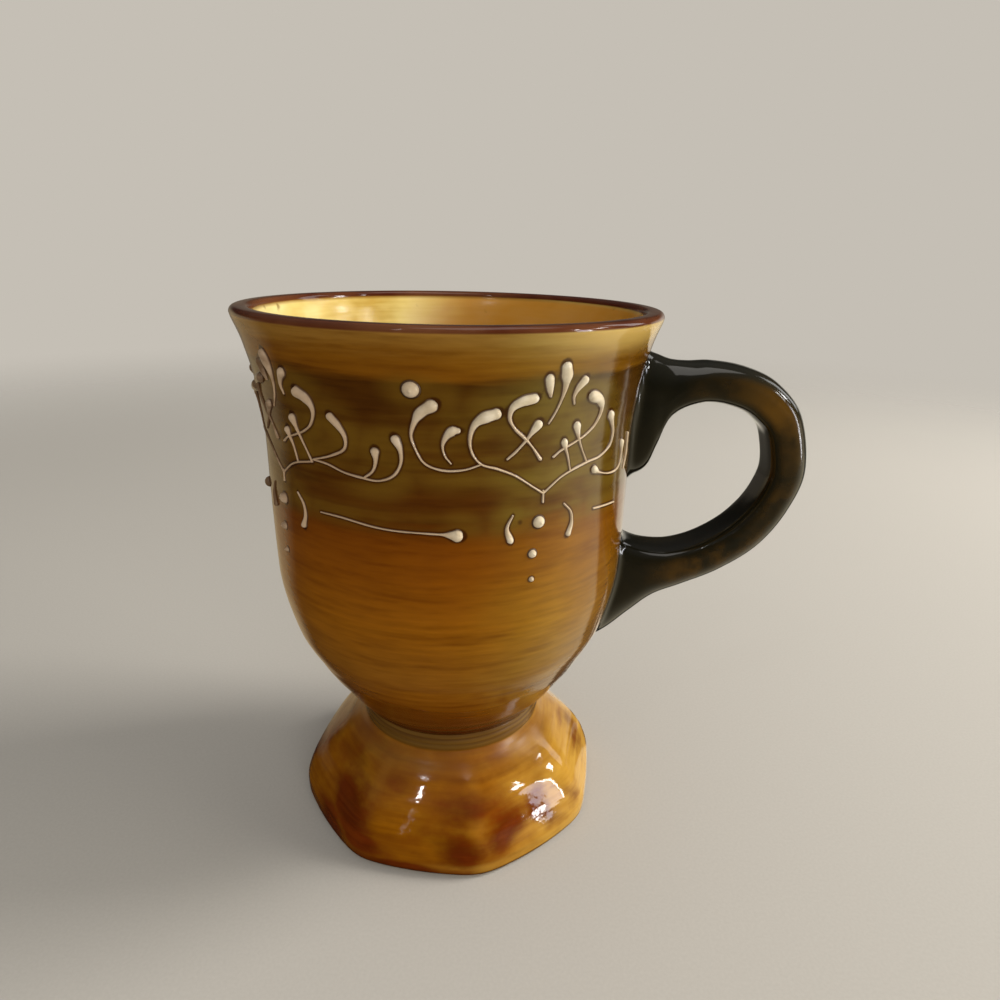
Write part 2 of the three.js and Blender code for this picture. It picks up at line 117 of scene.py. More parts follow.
def monotone(points, x):
    """A cubic between each two points, with the harmonic mean of the slopes beside a point as its
    slope there, so that it never swings past a point. Beyond its ends it stays level."""
    px, py = np.array(points, float).T
    step, rise = np.diff(px), np.diff(py)
    slope = rise / step
    before, after = slope[:-1], slope[1:]
    same = before * after > 0
    inner = np.where(same, 2 * before * after / np.where(same, before + after, 1), 0)
    tangent = np.concatenate([slope[:1], inner, slope[-1:]])
    i = np.clip(np.searchsorted(px, x, side="right") - 1, 0, len(px) - 2)
    t = np.clip((x - px[i]) / step[i], 0, 1)
    lean = tangent[i] * t * (1 - t) ** 2 + tangent[i + 1] * t * t * (t - 1)
    return py[i] + rise[i] * t * t * (3 - 2 * t) + step[i] * lean


def wall_radius(height):
    """The outside of the bowl: the neck widens to the waist, then the waist to the rim."""
    stretches = [(WALL_SHARES, NECK_RADIUS, WAIST_RADIUS), (FLARE_SHARES, WAIST_RADIUS, RIM_RADIUS)]
    points = [
        [BOWL_BASE + up * (RIM_HEIGHT - BOWL_BASE), start + out * (end - start)]
        for shares, start, end in stretches
        for up, out in shares
    ]
    return monotone(points, height)


def wall_lean(height):
    """How far the wall leans out from upright at a height, in radians."""
    step = BOWL_WALL / 4
    return np.arctan2(wall_radius(height + step) - wall_radius(height - step), 2 * step)


def inner_radius(height):
    """The inside of the wall, one wall's thickness away from the outside, square to it."""
    lean = wall_lean(height)
    return wall_radius(height - BOWL_WALL * np.sin(lean)) - BOWL_WALL * np.cos(lean)


def around(turn, radius, height):
    """The point at a turn in degrees, a radius from the bowl's axis and a height."""
    angle = np.radians(turn)
    return np.stack(
        np.broadcast_arrays(AXIS + radius * np.sin(angle), -radius * np.cos(angle), height), axis=-1
    )


def ripple(height, turn, seed):
    """The low rings that fingers leave on a thrown wall, from -1 to 1: sines of the height that drift
    round the wall."""
    drift = np.sin(np.radians(turn) + seed) + 0.6 * np.sin(np.radians(2 * turn) + 2 * seed)
    fine = np.sin(height / FINE_RING + 0.7 * drift + seed)
    broad = np.sin(height / BROAD_RING - 0.9 * drift + 3 * seed)
    return 0.45 * fine + 0.55 * broad


def shell(name, rings, loop=False):
    """A mesh over rings of points, each ring closed on itself. The last ring joins the first in a
    loop, and otherwise each end closes on a point in its middle."""
    count, sides = rings.shape[:2]
    points = rings.reshape(-1, 3)
    low = np.arange(count if loop else count - 1)[:, None] * sides
    high = (low + sides) % (count * sides)
    i = np.arange(sides)[None, :]
    j = (i + 1) % sides
    faces = np.stack([low + i, low + j, high + j, high + i], axis=-1).reshape(-1, 4).tolist()
    if not loop:
        ends = [rings[0].mean(0), rings[-1].mean(0)]
        first, last = len(points), len(points) + 1
        points = np.concatenate([points, ends])
        top = (count - 1) * sides
        i, j = i[0], j[0]
        faces += np.stack([np.full(sides, first), j, i], axis=-1).tolist()
        faces += np.stack([top + i, top + j, np.full(sides, last)], axis=-1).tolist()
    mesh = bpy.data.meshes.new(name)
    mesh.from_pydata(points.tolist(), [], faces)
    mesh.shade_smooth()
    mesh.update()
    piece = bpy.data.objects.new(name, mesh)
    bpy.context.scene.collection.objects.link(piece)
    return piece


def mark(piece, name, values):
    """Keeps one number for each point of a piece's mesh, for its material to read."""
    full = np.zeros(len(piece.data.vertices), np.float32)
    full[: len(values)] = values
    if not piece.data.attributes.get(name):
        piece.data.attributes.new(name, "FLOAT", "POINT")
    piece.data.attributes[name].data.foreach_set("value", full)


def smooth(low, high, x):
    """Nought below low, one above high, and an S-shaped rise between them."""
    t = np.clip((x - low) / (high - low), 0, 1)
    return t * t * (3 - 2 * t)


class Shade:
    """One number or colour of a material. Sums on numbers add Math nodes; node() adds any other kind."""

    def __init__(self, tree, socket=None):
        """Wraps a socket of a material's tree; without a socket it only adds nodes."""
        self.tree = tree
        self.socket = socket

    def node(self, kind, settings=None, inputs=None, output=0):
        """Adds a node: its settings first, then the values or links of its sockets."""
        made = self.tree.nodes.new("ShaderNode" + kind)
        for key, value in (settings or {}).items():
            setattr(made, key, value)
        for key, value in (inputs or {}).items():
            if isinstance(value, Shade):
                self.tree.links.new(value.socket, made.inputs[key])
            else:
                made.inputs[key].default_value = value
        return Shade(self.tree, made.outputs[output]) if made.outputs else None

    def sum(self, operation, first, second):
        """A Math node on two numbers or sockets."""
        return self.node("Math", {"operation": operation}, {0: first, 1: second})

    def __add__(self, other):
        return self.sum("ADD", self, other)

    __radd__ = __add__

    def __sub__(self, other):
        return self.sum("SUBTRACT", self, other)

    def __rsub__(self, other):
        return self.sum("SUBTRACT", other, self)

    def __mul__(self, other):
        return self.sum("MULTIPLY", self, other)

    __rmul__ = __mul__

    def __truediv__(self, other):
        return self.sum("DIVIDE", self, other)

    def rise(self, low, high):
        """Nought below low, one above high, and an S-shaped rise between them; it falls if low is
        above high."""
        span = {"Value": self, "From Min": min(low, high), "From Max": max(low, high)}
        up = self.node("MapRange", {"interpolation_type": "SMOOTHSTEP"}, span)
        return up if low < high else 1 - up

    def part(self, k):
        """One part of this vector: 0, 1 or 2 for X, Y or Z."""
        return self.node("SeparateXYZ", inputs={0: self}, output=k)

    def ramp(self, *stops):
        """The colour at this number between stops, each a number from 0 to 1 and the colour there."""
        ramped = self.node("ValToRGB", inputs={0: self})
        made = ramped.socket.node.color_ramp.elements
        while len(made) < len(stops):
            made.new(1)
        for stop, (at, colour) in zip(made, stops):
            stop.position = at
            stop.color = colour
        return ramped

    def toward(self, share, colour):
        """This colour mixed by a share with another."""
        return self.node("Mix", {"data_type": "RGBA"}, {0: share, 6: self, 7: colour}, 2)

    def times(self, colour):
        """This colour multiplied by another, or by a number for all three parts."""
        settings = {"data_type": "RGBA", "blend_type": "MULTIPLY"}
        return self.node("Mix", settings, {0: 1.0, 6: self, 7: colour}, 2)

    def attribute(self, name):
        """A number that mark() keeps for each point of the piece."""
        return self.node("Attribute", {"attribute_name": name}, output=2)

    def noise(self, scale, detail=2, seed=0.0):
        """Soft noise about 0.5 at the object's own points, scaled apart along each axis, in cells a
        metre."""
        place = self.node("TexCoord", output=3)
        moved = {"Vector": place, "Scale": scale, "Location": (seed, seed, seed)}
        vector = self.node("Mapping", inputs=moved)
        return self.node("TexNoise", inputs={"Vector": vector, "Scale": 1.0, "Detail": detail})


def paint(red, green, blue):
    """A colour from its display values, 0 to 255, as a shader takes it."""
    part = [c / 255 for c in (red, green, blue)]
    return tuple(c / 12.92 if c < 0.04045 else ((c + 0.055) / 1.055) ** 2.4 for c in part) + (1.0,)


def finish(name):
    """A new material's Shade to build on, its surface node and the material."""
    material = bpy.data.materials.new(name)
    material.use_nodes = True
    surface = next(n for n in material.node_tree.nodes if n.type == "BSDF_PRINCIPLED")
    return Shade(material.node_tree), surface, material


def feed(shade, surface, **sockets):
    """Links or sets sockets of the surface node; an underscore in a name stands for a space."""
    for key, value in sockets.items():
        socket = surface.inputs[key.replace("_", " ")]
        if isinstance(value, Shade):
            shade.tree.links.new(value.socket, socket)
        else:
            socket.default_value = value


PINHOLE_CELLS = 95.0


def pinholes(shade, place):
    """A few dark pinpricks of burst bubbles in a glaze: small discs about some of the points of a
    loose pattern of cells, so many of them a metre."""
    cells = {"Vector": place, "Scale": PINHOLE_CELLS}
    chance = shade.node("SeparateColor", inputs={0: shade.node("TexVoronoi", inputs=cells, output=1)})
    return shade.node("TexVoronoi", inputs=cells).rise(0.08, 0.03) * chance.rise(0.9, 0.92)


def quarter(centre, middle, size, start, steps):
    """A quarter circle of radius size about a radius and a height, as a profile, from an angle in
    quarters."""
    bend = np.pi / 2 * (start + np.linspace(0, 1, steps))
    return np.stack([centre + size * np.cos(bend), middle + size * np.sin(bend)], axis=1)


def bowl_rings():
    """The bowl's profile turned about its axis: out under the base, up the outside, over the flat lip
    with its two round edges, down the inside and round the fillet to the middle of the floor. Fingers'
    rings are pressed into both walls, and two grooves are cut above the base."""
    edge = RIM_HEIGHT - LIP_ROUND
    floor_height = BOWL_BASE + BOWL_FLOOR
    fillet_top = floor_height + FILLET_HEIGHT
    start = BOWL_BASE + BASE_ROUND
    base_radius = float(wall_radius(start))
    base = np.array([[share * base_radius, BOWL_BASE] for share in BASE_SHARES])
    base_edge = quarter(base_radius - BASE_ROUND, start, BASE_ROUND, -1, BASE_EDGE_RINGS)[:-1]
    reaches = [start] + [reach for reach, _ in WALL_STRETCHES]
    up = [
        np.linspace(low, high, count, endpoint=False)
        for low, (high, count) in zip(reaches, WALL_STRETCHES)
    ]
    up = np.concatenate(up + [np.linspace(reaches[-1], edge, LIP_RINGS)[:-1]])
    outside = np.stack([wall_radius(up), up], axis=1)
    outer_edge = quarter(RIM_RADIUS - LIP_ROUND, edge, LIP_ROUND, 0, LIP_EDGE_RINGS)
    inner_edge = quarter(RIM_RADIUS - BOWL_WALL + LIP_ROUND, edge, LIP_ROUND, 1, LIP_EDGE_RINGS)
    down = np.linspace(edge - INNER_EDGE, fillet_top, INSIDE_RINGS)
    inside = np.stack([inner_radius(down), down], axis=1)
    bend = np.linspace(0, np.pi / 2, FILLET_RINGS)[1:]
    out = inner_radius(np.array(fillet_top)) - FILLET_REACH * (1 - np.cos(bend))
    fillet = np.stack([out, fillet_top - FILLET_HEIGHT * np.sin(bend)], axis=1)
    floor = np.array([[share * out[-1], floor_height] for share in FLOOR_SHARES])
    parts = [
        (base, EDGE), (base_edge, EDGE), (outside, OUTSIDE), (outer_edge, EDGE),
        (inner_edge, EDGE), (inside, INSIDE), (fillet, FLOOR), (floor, FLOOR),
    ]
    profile = np.concatenate([part for part, _ in parts])
    side = np.concatenate([np.full(len(part), kind) for part, kind in parts])
    turn = np.linspace(0, 360, AROUND, endpoint=False)[None, :]
    radius, height = profile[:, :1], profile[:, 1:]
    belly = PRESS_UPPER + PRESS_BELLY * smooth(*BELLY_FADE, height)
    press = (side == OUTSIDE)[:, None] * belly * ripple(height, turn, 0.4)
    press = press + (side == INSIDE)[:, None] * PRESS_INSIDE * ripple(height, turn, 1.9)
    ends = smooth(start, start + MM, height) * smooth(edge - MM, edge - 3 * MM, height)
    groove = sum(depth * np.exp(-((height - at) / half) ** 2) for at, depth, half in BASE_GROOVES)
    radius = radius + press * ends - (side == OUTSIDE)[:, None] * groove
    return around(turn, radius, height), side, turn, height


rings, bowl_side, bowl_turn, bowl_height = bowl_rings()
bowl = shell("bowl_wall", rings)
mark(bowl, "inside", np.repeat(bowl_side >= INSIDE, AROUND).astype(np.float32))

# The brushed bands of glaze: a height in millimetres and the colour there. The stops from 29 to 42
# millimetres are darkened as painted shade where the belly turns under.
BAND_STOPS = [
    [29, paint(70, 30, 3)],
    [34, paint(84, 40, 4)],
    [38, paint(92, 46, 5)],
    [42, paint(102, 55, 6)],
    [48, paint(128, 77, 15)],
    [55, paint(131, 82, 17)],
    [66, paint(136, 82, 10)],
    [78, paint(125, 69, 5)],
    [86, paint(113, 59, 3)],
    [90, paint(82, 42, 4)],
    [98, paint(77, 41, 4)],
    [105, paint(76, 42, 5)],
    [111, paint(74, 41, 5)],
    [117, paint(70, 38, 3)],
    [118.8, paint(112, 66, 6)],
    [121.5, paint(120, 74, 10)],
    [123.5, paint(132, 90, 28)],
    [126, paint(138, 98, 38)],
]
BAND_TOP = 130
# Where each change of the glaze and of its painted light and shade starts and ends: heights in
# millimetres,
OLIVE_START = (86, 91)
OLIVE_END = (120, 116)
DIP_HEIGHTS = (100, 94)
PAINTED_SHEEN_FLARE = (119.5, 125)
LIP_WASH = (125.6, 126.0)
BASE_SHADOW = (29.7, 29.0)
# distances across the mug from its axis towards the handle,
DIP_ACROSS = (8, 26)
PAINTED_VEIL_ACROSS = (2, 38)
PAINTED_SHEEN_ACROSS = (12, 34)
THICK_AND_SHADED_ACROSS = (-19, 4)
# and distances from the edge of the slip.
DRAWN_BACK = (6, 1)
HALO = (0.6, 0.08)
# How far the edges of the bands dip towards the handle and wander with the brush, in millimetres.
BAND_DIP = 2.6
BRUSH_WANDER = 5
STREAK_WANDER = 2.5

shade, surface, bowl_glaze = finish("banded_glaze")
place = shade.node("TexCoord", output=3)
height = place.part(2) / MM
streak = shade.noise((55, 55, 850), 4)
brush = shade.noise((26, 26, 280), 3, 3.0)
cloud = shade.noise((55, 55, 90), 3, 7.0)
fleck = shade.noise((150, 150, 1000), 3, 5.0)
across = (place.part(0) - AXIS) / MM
dip = across.rise(*DIP_ACROSS) * height.rise(*DIP_HEIGHTS) * BAND_DIP
wander = height - dip + (brush - 0.5) * BRUSH_WANDER + (streak - 0.5) * STREAK_WANDER
bands = (wander / BAND_TOP).ramp(*[[z / BAND_TOP, colour] for z, colour in BAND_STOPS])
outside = bands.times((streak * 0.4 + brush * 0.3 + fleck * 0.3).ramp(
    [0.32, (0.66, 0.58, 0.48, 1)], [0.5, (1, 1, 1, 1)], [0.68, (1.24, 1.3, 1.42, 1)],
))
in_band = height.rise(*OLIVE_START) * height.rise(*OLIVE_END)
reach = shade.attribute("reach")
drawn = reach.rise(*DRAWN_BACK) * (cloud + brush - 0.35).rise(0.3, 0.85)
outside = outside.toward(drawn * in_band * 0.65, paint(112, 82, 20))
# Towards the handle, on the window's side, the glaze is lightened and cooled as a painted veil of
# reflected light.
outside = outside.times((across + (cloud - 0.5) * 14).rise(*PAINTED_VEIL_ACROSS).ramp(
    [0, (1, 1, 1, 1)], [0.4, (1.03, 1.3, 1.75, 1)], [0.75, (1.12, 1.55, 2.7, 1)], [1, (0.82, 1, 1.4, 1)],
))
# On the window's side the flare is lightened as a painted sheen of light.
painted_sheen_flare = height.rise(*PAINTED_SHEEN_FLARE) * (across + (brush - 0.5) * 10).rise(*PAINTED_SHEEN_ACROSS)
outside = outside.toward(painted_sheen_flare * 0.75, paint(196, 164, 88))
# The dark line where the glaze draws back from the slip is also darkened as painted shade at the trail's
# foot.
outside = outside.toward(reach.rise(*HALO) * 0.85, paint(50, 19, 2))
specks = pinholes(shade, place)
outside = outside.toward(specks * 0.7, paint(50, 22, 4))
from_groove = shade.node("Math", {"operation": "ABSOLUTE"}, {0: height - BASE_GROOVES[0][0] / MM})
outside = outside.toward(from_groove.rise(0.75, 0.2) * 0.75, paint(58, 22, 3))
outside = outside.toward(height.rise(*BASE_SHADOW) * 0.8, paint(50, 20, 3))
inside = (cloud * 0.8 + streak * 0.2).ramp(
    [0.35, paint(194, 160, 74)], [0.5, paint(224, 200, 120)], [0.65, paint(240, 222, 156)],
)
# Towards the handle the inside turns amber: thicker glaze there, and painted shade on the inner wall that
# faces away from the window.
thicker_and_shaded = (across + (cloud - 0.5) * 26).rise(*THICK_AND_SHADED_ACROSS)
inside = inside.toward(thicker_and_shaded * 0.85, paint(184, 122, 22))
blots = shade.noise((210, 210, 210), 2, 11.0).rise(0.67, 0.77)
inside = inside.toward(blots * 0.7, paint(104, 74, 12))
inside = inside.toward(specks * 0.8, paint(110, 70, 14))
glazed = outside.toward(shade.attribute("inside"), inside)
lip_band = (height + (brush - 0.5) * 0.5).rise(*LIP_WASH)
wash = cloud.ramp([0.35, paint(74, 30, 10)], [0.65, paint(104, 62, 36)])
glazed = glazed.toward(lip_band, wash)
bump = shade.node("Bump", inputs={
    "Strength": 0.25, "Distance": 0.0004, "Height": shade.noise((60, 60, 420), 2, 1.0) + cloud * 0.6,
})
rough = 0.06 + 0.07 * brush + 0.1 * shade.attribute("inside")
feed(shade, surface, Base_Color=glazed, Roughness=rough, Normal=bump, Specular_IOR_Level=0.4)
bowl.data.materials.append(bowl_glaze)
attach(bowl, "root")
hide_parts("bowl")

# The foot is a second thrown ring, flared, pressed while soft into eight facets and luted under the bowl
# with a low collar band. Honey glaze pools red-brown in the facets and breaks pale on their edges, and
# the ring that it stands on is bare clay.
FOOT_RADIUS = 39.8 * MM
FOOT_WALL = 6.5 * MM
STANDING_WIDTH = 4 * MM
FOOT_EDGE = 1.4 * MM
COLLAR_HEIGHT = 4.9 * MM
COLLAR_PROUD = 0.6 * MM
FACET_DEPTH = 2.2 * MM
# The facet about this turn is also pressed hollow, between these shares of the flare's height.
HOLLOW_DEPTH = 0.7 * MM
HOLLOW_TURN = 44
HOLLOW_SPREAD = 40
HOLLOW_START_SHARES = (0.08, 0.4)
HOLLOW_END_SHARES = (0.75, 0.42)
CORNER_TURNS = [-73, -28, 17, 64, 105, 150, 197, 241]
CORNER_SOFT = 9
FACET_COLUMNS = 48
FLARE_TOP = FOOT_HEIGHT - COLLAR_HEIGHT
# How far out the flare stands, how deep its facets are and how far out the collar stands, up their
# heights.
FLARE_OUT_SHARES = [
    [0, 0.975], [0.06, 0.995], [0.15, 1], [0.34, 0.93], [0.56, 0.72], [0.77, 0.38], [0.93, 0.09], [1, 0],
]
FACET_SHARES = [[0, 0.75], [0.15, 0.8], [0.4, 0.95], [0.65, 0.8], [0.88, 0.3], [1, 0]]
COLLAR_OUT_SHARES = [[0, 0], [0.16, 0.3], [0.5, 0.4], [0.82, 0.1], [1, -0.4]]
COLLAR_GROOVE = 0.12 * MM
COLLAR_GROOVE_SHARES = [0.4, 0.7]
GROOVE_SPREAD_SHARE = 0.05
# The top of the collar runs in under the bowl, and a hair into it where the two are luted.
LUTE_INSETS = (0.5 * MM, 1.5 * MM)
LUTE_RISE = 0.05 * MM
# Rings of the mesh round the edge, up the flare, over the collar, down inside and round to the standing
# ring.
FOOT_EDGE_RINGS = 9
FLARE_RINGS = 60
COLLAR_RINGS = 26
HOLLOW_RINGS = 40
STANDING_RINGS = 7
# How far the edge of a pool sways up its height, in degrees, then the pools of darker glaze: turn, height
# as a share of the flare, spread in degrees and as a share, strength.
POOL_SWAY = 4
POOL_SHARES = [
    [-36, 0.42, 15, 0.24, 1.1],
    [-28, 0.24, 12, 0.2, 1],
    [-46, 0.2, 12, 0.16, 1],
    [-84, 0.5, 16, 0.4, 1],
    [-22, 0.74, 14, 0.12, 0.4],
    [-6, 0.4, 12, 0.2, 0.35],
    [10, 0.62, 16, 0.16, 0.85],
    [8, 0.27, 14, 0.18, 1],
    [25, 0.38, 11, 0.22, 1.05],
    [-12, 0.07, 30, 0.08, 1],
    [-44, 0.09, 20, 0.1, 0.95],
    [-50, 0.72, 16, 0.12, 0.55],
    [47, 0.42, 7, 0.24, 0.8],
    [58, 0.4, 5, 0.2, 0.5],
    [52, 0.78, 11, 0.07, 0.5],
    [92, 0.6, 12, 0.2, 0.55],
    [118, 0.4, 12, 0.24, 0.9],
    [128, 0.2, 16, 0.14, 0.7],
    [172, 0.35, 16, 0.25, 0.9],
    [218, 0.3, 17, 0.2, 0.8],
    [262, 0.5, 14, 0.26, 0.9],
]


def facet_press():
    """How far each turn of the foot is pressed in, as a share: the straight chord between two corners,
    with the corners rounded by a running mean."""
    corners = np.array(CORNER_TURNS + [CORNER_TURNS[0] + 360], float)
    start, end = corners[:-1, None], corners[1:, None]
    turn = start + (end - start) * np.arange(FACET_COLUMNS) / FACET_COLUMNS
    half = np.radians(end - start) / 2
    off = np.radians(turn) - np.radians(start) - half
    press = ((1 - np.cos(half) / np.cos(off)) / (1 - np.cos(half))).ravel()
    span = CORNER_SOFT
    spread = [np.roll(press, s) * (span + 1 - abs(s)) for s in range(-span, span + 1)]
    return turn.ravel(), np.sum(spread, axis=0) / (span + 1) ** 2


def foot_rings():
    """The foot's wall as rings: round the outer edge, up the pressed flare, over the collar, and back
    down the inside to the ring that it stands on."""
    turn, press = facet_press()
    narrow = NECK_RADIUS + COLLAR_PROUD / 2
    flare = [[up * FLARE_TOP, narrow + out * (FOOT_RADIUS - narrow)] for up, out in FLARE_OUT_SHARES]
    depth = [[up * FLARE_TOP, share * FACET_DEPTH] for up, share in FACET_SHARES]
    hollow = HOLLOW_DEPTH * press * np.exp(-(((turn - HOLLOW_TURN) / HOLLOW_SPREAD) ** 2))

    def faceted(height):
        """The flare's radius at a height for each turn, less the press of its facets and of the hollow
        one."""
        up = height / FLARE_TOP
        hollowed = hollow * smooth(*HOLLOW_START_SHARES, up) * smooth(*HOLLOW_END_SHARES, up)
        return monotone(flare, height) - monotone(depth, height) * press - hollowed

    rows = []
    edge = faceted(FOOT_EDGE)
    for angle in np.linspace(np.pi / 2, 0, FOOT_EDGE_RINGS):
        rows.append([edge - FOOT_EDGE * (1 - np.cos(angle)), FOOT_EDGE * (1 - np.sin(angle))])
    for height in np.linspace(FOOT_EDGE, FLARE_TOP, FLARE_RINGS)[1:]:
        rows.append([faceted(height), height])
    top = faceted(FLARE_TOP)
    for up in np.linspace(0, 1, COLLAR_RINGS)[1:]:
        groove = sum(np.exp(-(((up - at) / GROOVE_SPREAD_SHARE) ** 2)) for at in COLLAR_GROOVE_SHARES)
        out = monotone(COLLAR_OUT_SHARES, up) * COLLAR_PROUD - COLLAR_GROOVE * groove
        rows.append([top + out, FLARE_TOP + up * COLLAR_HEIGHT])
    for inset in LUTE_INSETS:
        rows.append([top - COLLAR_PROUD - inset, BOWL_BASE + LUTE_RISE])
    for height in np.linspace(FOOT_HEIGHT, FOOT_EDGE, HOLLOW_RINGS):
        rows.append([faceted(min(height, FLARE_TOP)) - FOOT_WALL, height])
    inner = rows[-1][0]
    standing = edge - FOOT_EDGE - STANDING_WIDTH
    for angle in np.linspace(0, np.pi / 2, STANDING_RINGS)[1:]:
        rows.append([inner + (standing - inner) * (1 - np.cos(angle)), FOOT_EDGE * (1 - np.sin(angle))])
    radius = np.array([np.broadcast_to(r, turn.shape) for r, _ in rows])
    height = np.array([h for _, h in rows])[:, None] * np.ones_like(turn)
    return around(turn[None, :], radius, height), turn, press, height, len(rows)


rings, foot_turn, foot_press, foot_height, foot_rows = foot_rings()
foot = shell("faceted_foot", rings, loop=True)
share = foot_height / FLARE_TOP
pool = np.zeros_like(share)
for turn, up, wide, tall, strength in POOL_SHARES:
    off = (foot_turn[None, :] - turn + 180) % 360 - 180 + POOL_SWAY * np.sin(11 * share + turn)
    pool = np.maximum(pool, strength * np.exp(-((off / wide) ** 2) - ((share - up) / tall) ** 2))
mark(foot, "pool", pool.ravel())
mark(foot, "press", np.repeat(foot_press[None, :], foot_rows, axis=0).ravel())

# Where each change of the foot's glaze and of its painted light and shade starts and ends: heights in
# millimetres,
RIDGE_FADE = (23, 17)
PAINTED_LIGHT_EDGE = (4.6, 2.6)
BROWN_TOP = (17, 21.5)
MATT_TOP = (17.5, 21)
PAINTED_SHADE_UNDER_EDGE = (1.9, 0.8)
COLLAR_GLAZE = (22.8, 24.0)
BARE_CLAY = (0.5, 0.15)
# distances across the mug from its axis towards the handle,
PAINTED_LIGHT_ACROSS = (6, 36)
PAINTED_LIGHT_EDGE_ACROSS = (-8, 16)
# and the start, middle and end of each dark line round the collar.
LOWER_LINE, UPPER_LINE = (24.7, 25.3, 25.9), (26.4, 26.8, 27.3)


def line_round(height, line):
    """A soft line round the foot: it rises from its start to its middle and falls to its end."""
    start, middle, end = line
    return height.rise(start, middle) * height.rise(end, middle)


shade, surface, foot_glaze = finish("honey_glaze")
place = shade.node("TexCoord", output=3)
height = place.part(2) / MM
streak = shade.noise((30, 30, 850), 4, 5.0)
cloud = shade.noise((90, 90, 130), 4, 2.0)
press = shade.attribute("press")
pool = shade.attribute("pool")
honey = (streak * 0.4 + cloud * 0.6).ramp(
    [0.3, paint(112, 60, 3)], [0.5, paint(142, 86, 6)], [0.7, paint(170, 120, 20)],
)
across = (place.part(0) - AXIS) / MM
# Towards the handle, on the window's side, the honey is lightened as painted light.
honey = honey.toward((across + (cloud - 0.5) * 26).rise(*PAINTED_LIGHT_ACROSS) * 0.75, paint(196, 152, 62))
fleck = shade.noise((60, 60, 800), 3, 3.0)
honey = honey.times(fleck.ramp(
    [0.3, (0.86, 0.8, 0.66, 1)], [0.5, (1, 1, 1, 1)], [0.7, (1.08, 1.12, 1.2, 1)],
))
ridge = (1 - press).rise(0.6, 1.0) * height.rise(*RIDGE_FADE) * (cloud * 1.5 - 0.2)
honey = honey.toward(ridge * 0.5, paint(200, 152, 64))
# On the window's side the low edge is lightened as a painted highlight where it catches the light.
lit_low_edge = (height + (cloud - 0.5) * 3).rise(*PAINTED_LIGHT_EDGE) * (cloud * 1.6 - 0.2)
honey = honey.toward(lit_low_edge * across.rise(*PAINTED_LIGHT_EDGE_ACROSS) * 0.65, paint(194, 152, 64))
blotch = shade.noise((150, 150, 260), 4, 8.0)
dark = pool * 1.2 + (cloud - 0.5) * 1.3 + (blotch - 0.5) * 1.2 + (streak - 0.5) * 0.8
pooled = (blotch * 0.5 + streak * 0.5).ramp([0.35, paint(68, 16, 1)], [0.65, paint(104, 38, 4)])
honey = honey.toward(dark.rise(0.05, 1.15) * 0.94, pooled)
top_tone = (height + (cloud - 0.5) * 4).rise(*BROWN_TOP)
honey = honey.toward(top_tone * (streak * 2.4 - 0.7).rise(0, 1) * 0.55, paint(104, 54, 3))
# Near the table, where the edge turns under, it is darkened as painted shade.
shaded_under_edge = (height + (streak - 0.5) * 1.0).rise(*PAINTED_SHADE_UNDER_EDGE)
honey = honey.toward(shaded_under_edge * 0.85, paint(72, 34, 5))
collar = (height + (streak - 0.5) * 1.2).rise(*COLLAR_GLAZE)
collar_tone = streak.ramp(
    [0.3, paint(92, 60, 16)], [0.55, paint(108, 76, 26)], [0.75, paint(124, 92, 38)],
)
honey = honey.toward(collar, collar_tone)
lines = line_round(height, LOWER_LINE) + line_round(height, UPPER_LINE)
honey = honey.toward(lines * 0.45, paint(70, 38, 8))
honey = honey.toward(pinholes(shade, place) * 0.8, paint(48, 18, 3))
honey = honey.toward(height.rise(*BARE_CLAY), paint(196, 170, 130))
bump = shade.node("Bump", inputs={
    "Strength": 0.3, "Distance": 0.0005, "Height": shade.noise((70, 70, 300), 2, 1.0) + cloud * 0.8,
})
rough = 0.05 + 0.22 * height.rise(*MATT_TOP) + 0.5 * height.rise(*BARE_CLAY)
feed(shade, surface, Base_Color=honey, Roughness=rough, Normal=bump, Specular_IOR_Level=0.4)
foot.data.materials.append(foot_glaze)
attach(foot, "root")
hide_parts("foot")

# The handle is pulled from a lump of clay into a strap, bent into an ear and pressed on to the wall,
# where both roots are smoothed out. Its dark olive glaze thins to amber along the flat of the strap.
HANDLE_REACH = 41 * MM
HANDLE_RISE = 76 * MM
HANDLE_LOW = 44 * MM
STRAP_THICKNESS = 8.8 * MM
STRAP_WIDTH = 12.4 * MM
UPPER_ROOT = 27.5 * MM
LOWER_ROOT = 26.5 * MM
ROOT_WIDTH = 15.5 * MM
STRAP_SQUARE = 4.2
STRAP_OUTER_SQUARE = 2.5
STRAP_RINGS = 260
STRAP_SIDES = 96
ROOT_SINK = 1.5 * MM
ROOT_FILLET = 1.6 * MM
FILLET_SPREAD_SHARE = 0.55
FILLET_OUT_SHARE = 0.3
# Stations down the strap: how far out and up its outer side is, how deep and wide it is there, and its
# lean.
STATION_SHARES = [
    [-0.15, 1.004, 1.28, 1.2, -90],
    [0.1, 0.967, 0.92, 0.8, -91],
    [0.195, 0.95, 0.6, 0.5, -97],
    [0.293, 0.946, 0.2, 0.3, -106],
    [0.415, 0.949, 0.03, 0.15, -104],
    [0.61, 0.934, 0.01, 0.05, -107],
    [0.787, 0.891, 0.03, 0, -124],
    [0.935, 0.798, 0.02, 0, -148],
    [1.003, 0.625, 0.01, 0, -180],
    [0.939, 0.5, 0, 0, -205],
    [0.807, 0.383, 0.03, 0, -220],
    [0.59, 0.288, 0.04, 0.05, -238],
    [0.376, 0.229, 0.09, 0.15, -254],
    [0.207, 0.184, 0.25, 0.3, -264],
    [0.073, 0.117, 0.59, 0.45, -269],
    [-0.049, 0.051, 1, 0.6, -270],
    [-0.17, 0.003, 1.3, 0.7, -270],
]
# The stations between which the upper root's depth gives way to the lower one's.
ROOT_CHANGE = (7.4, 8.6)
# Where the glaze thins on the strap: a station, a spread in stations and how much.
THIN_PLACES = [[6.3, 1.1, 1], [11.2, 1.5, 0.8], [9, 1.2, 0.35], [4.2, 1, 0.25]]


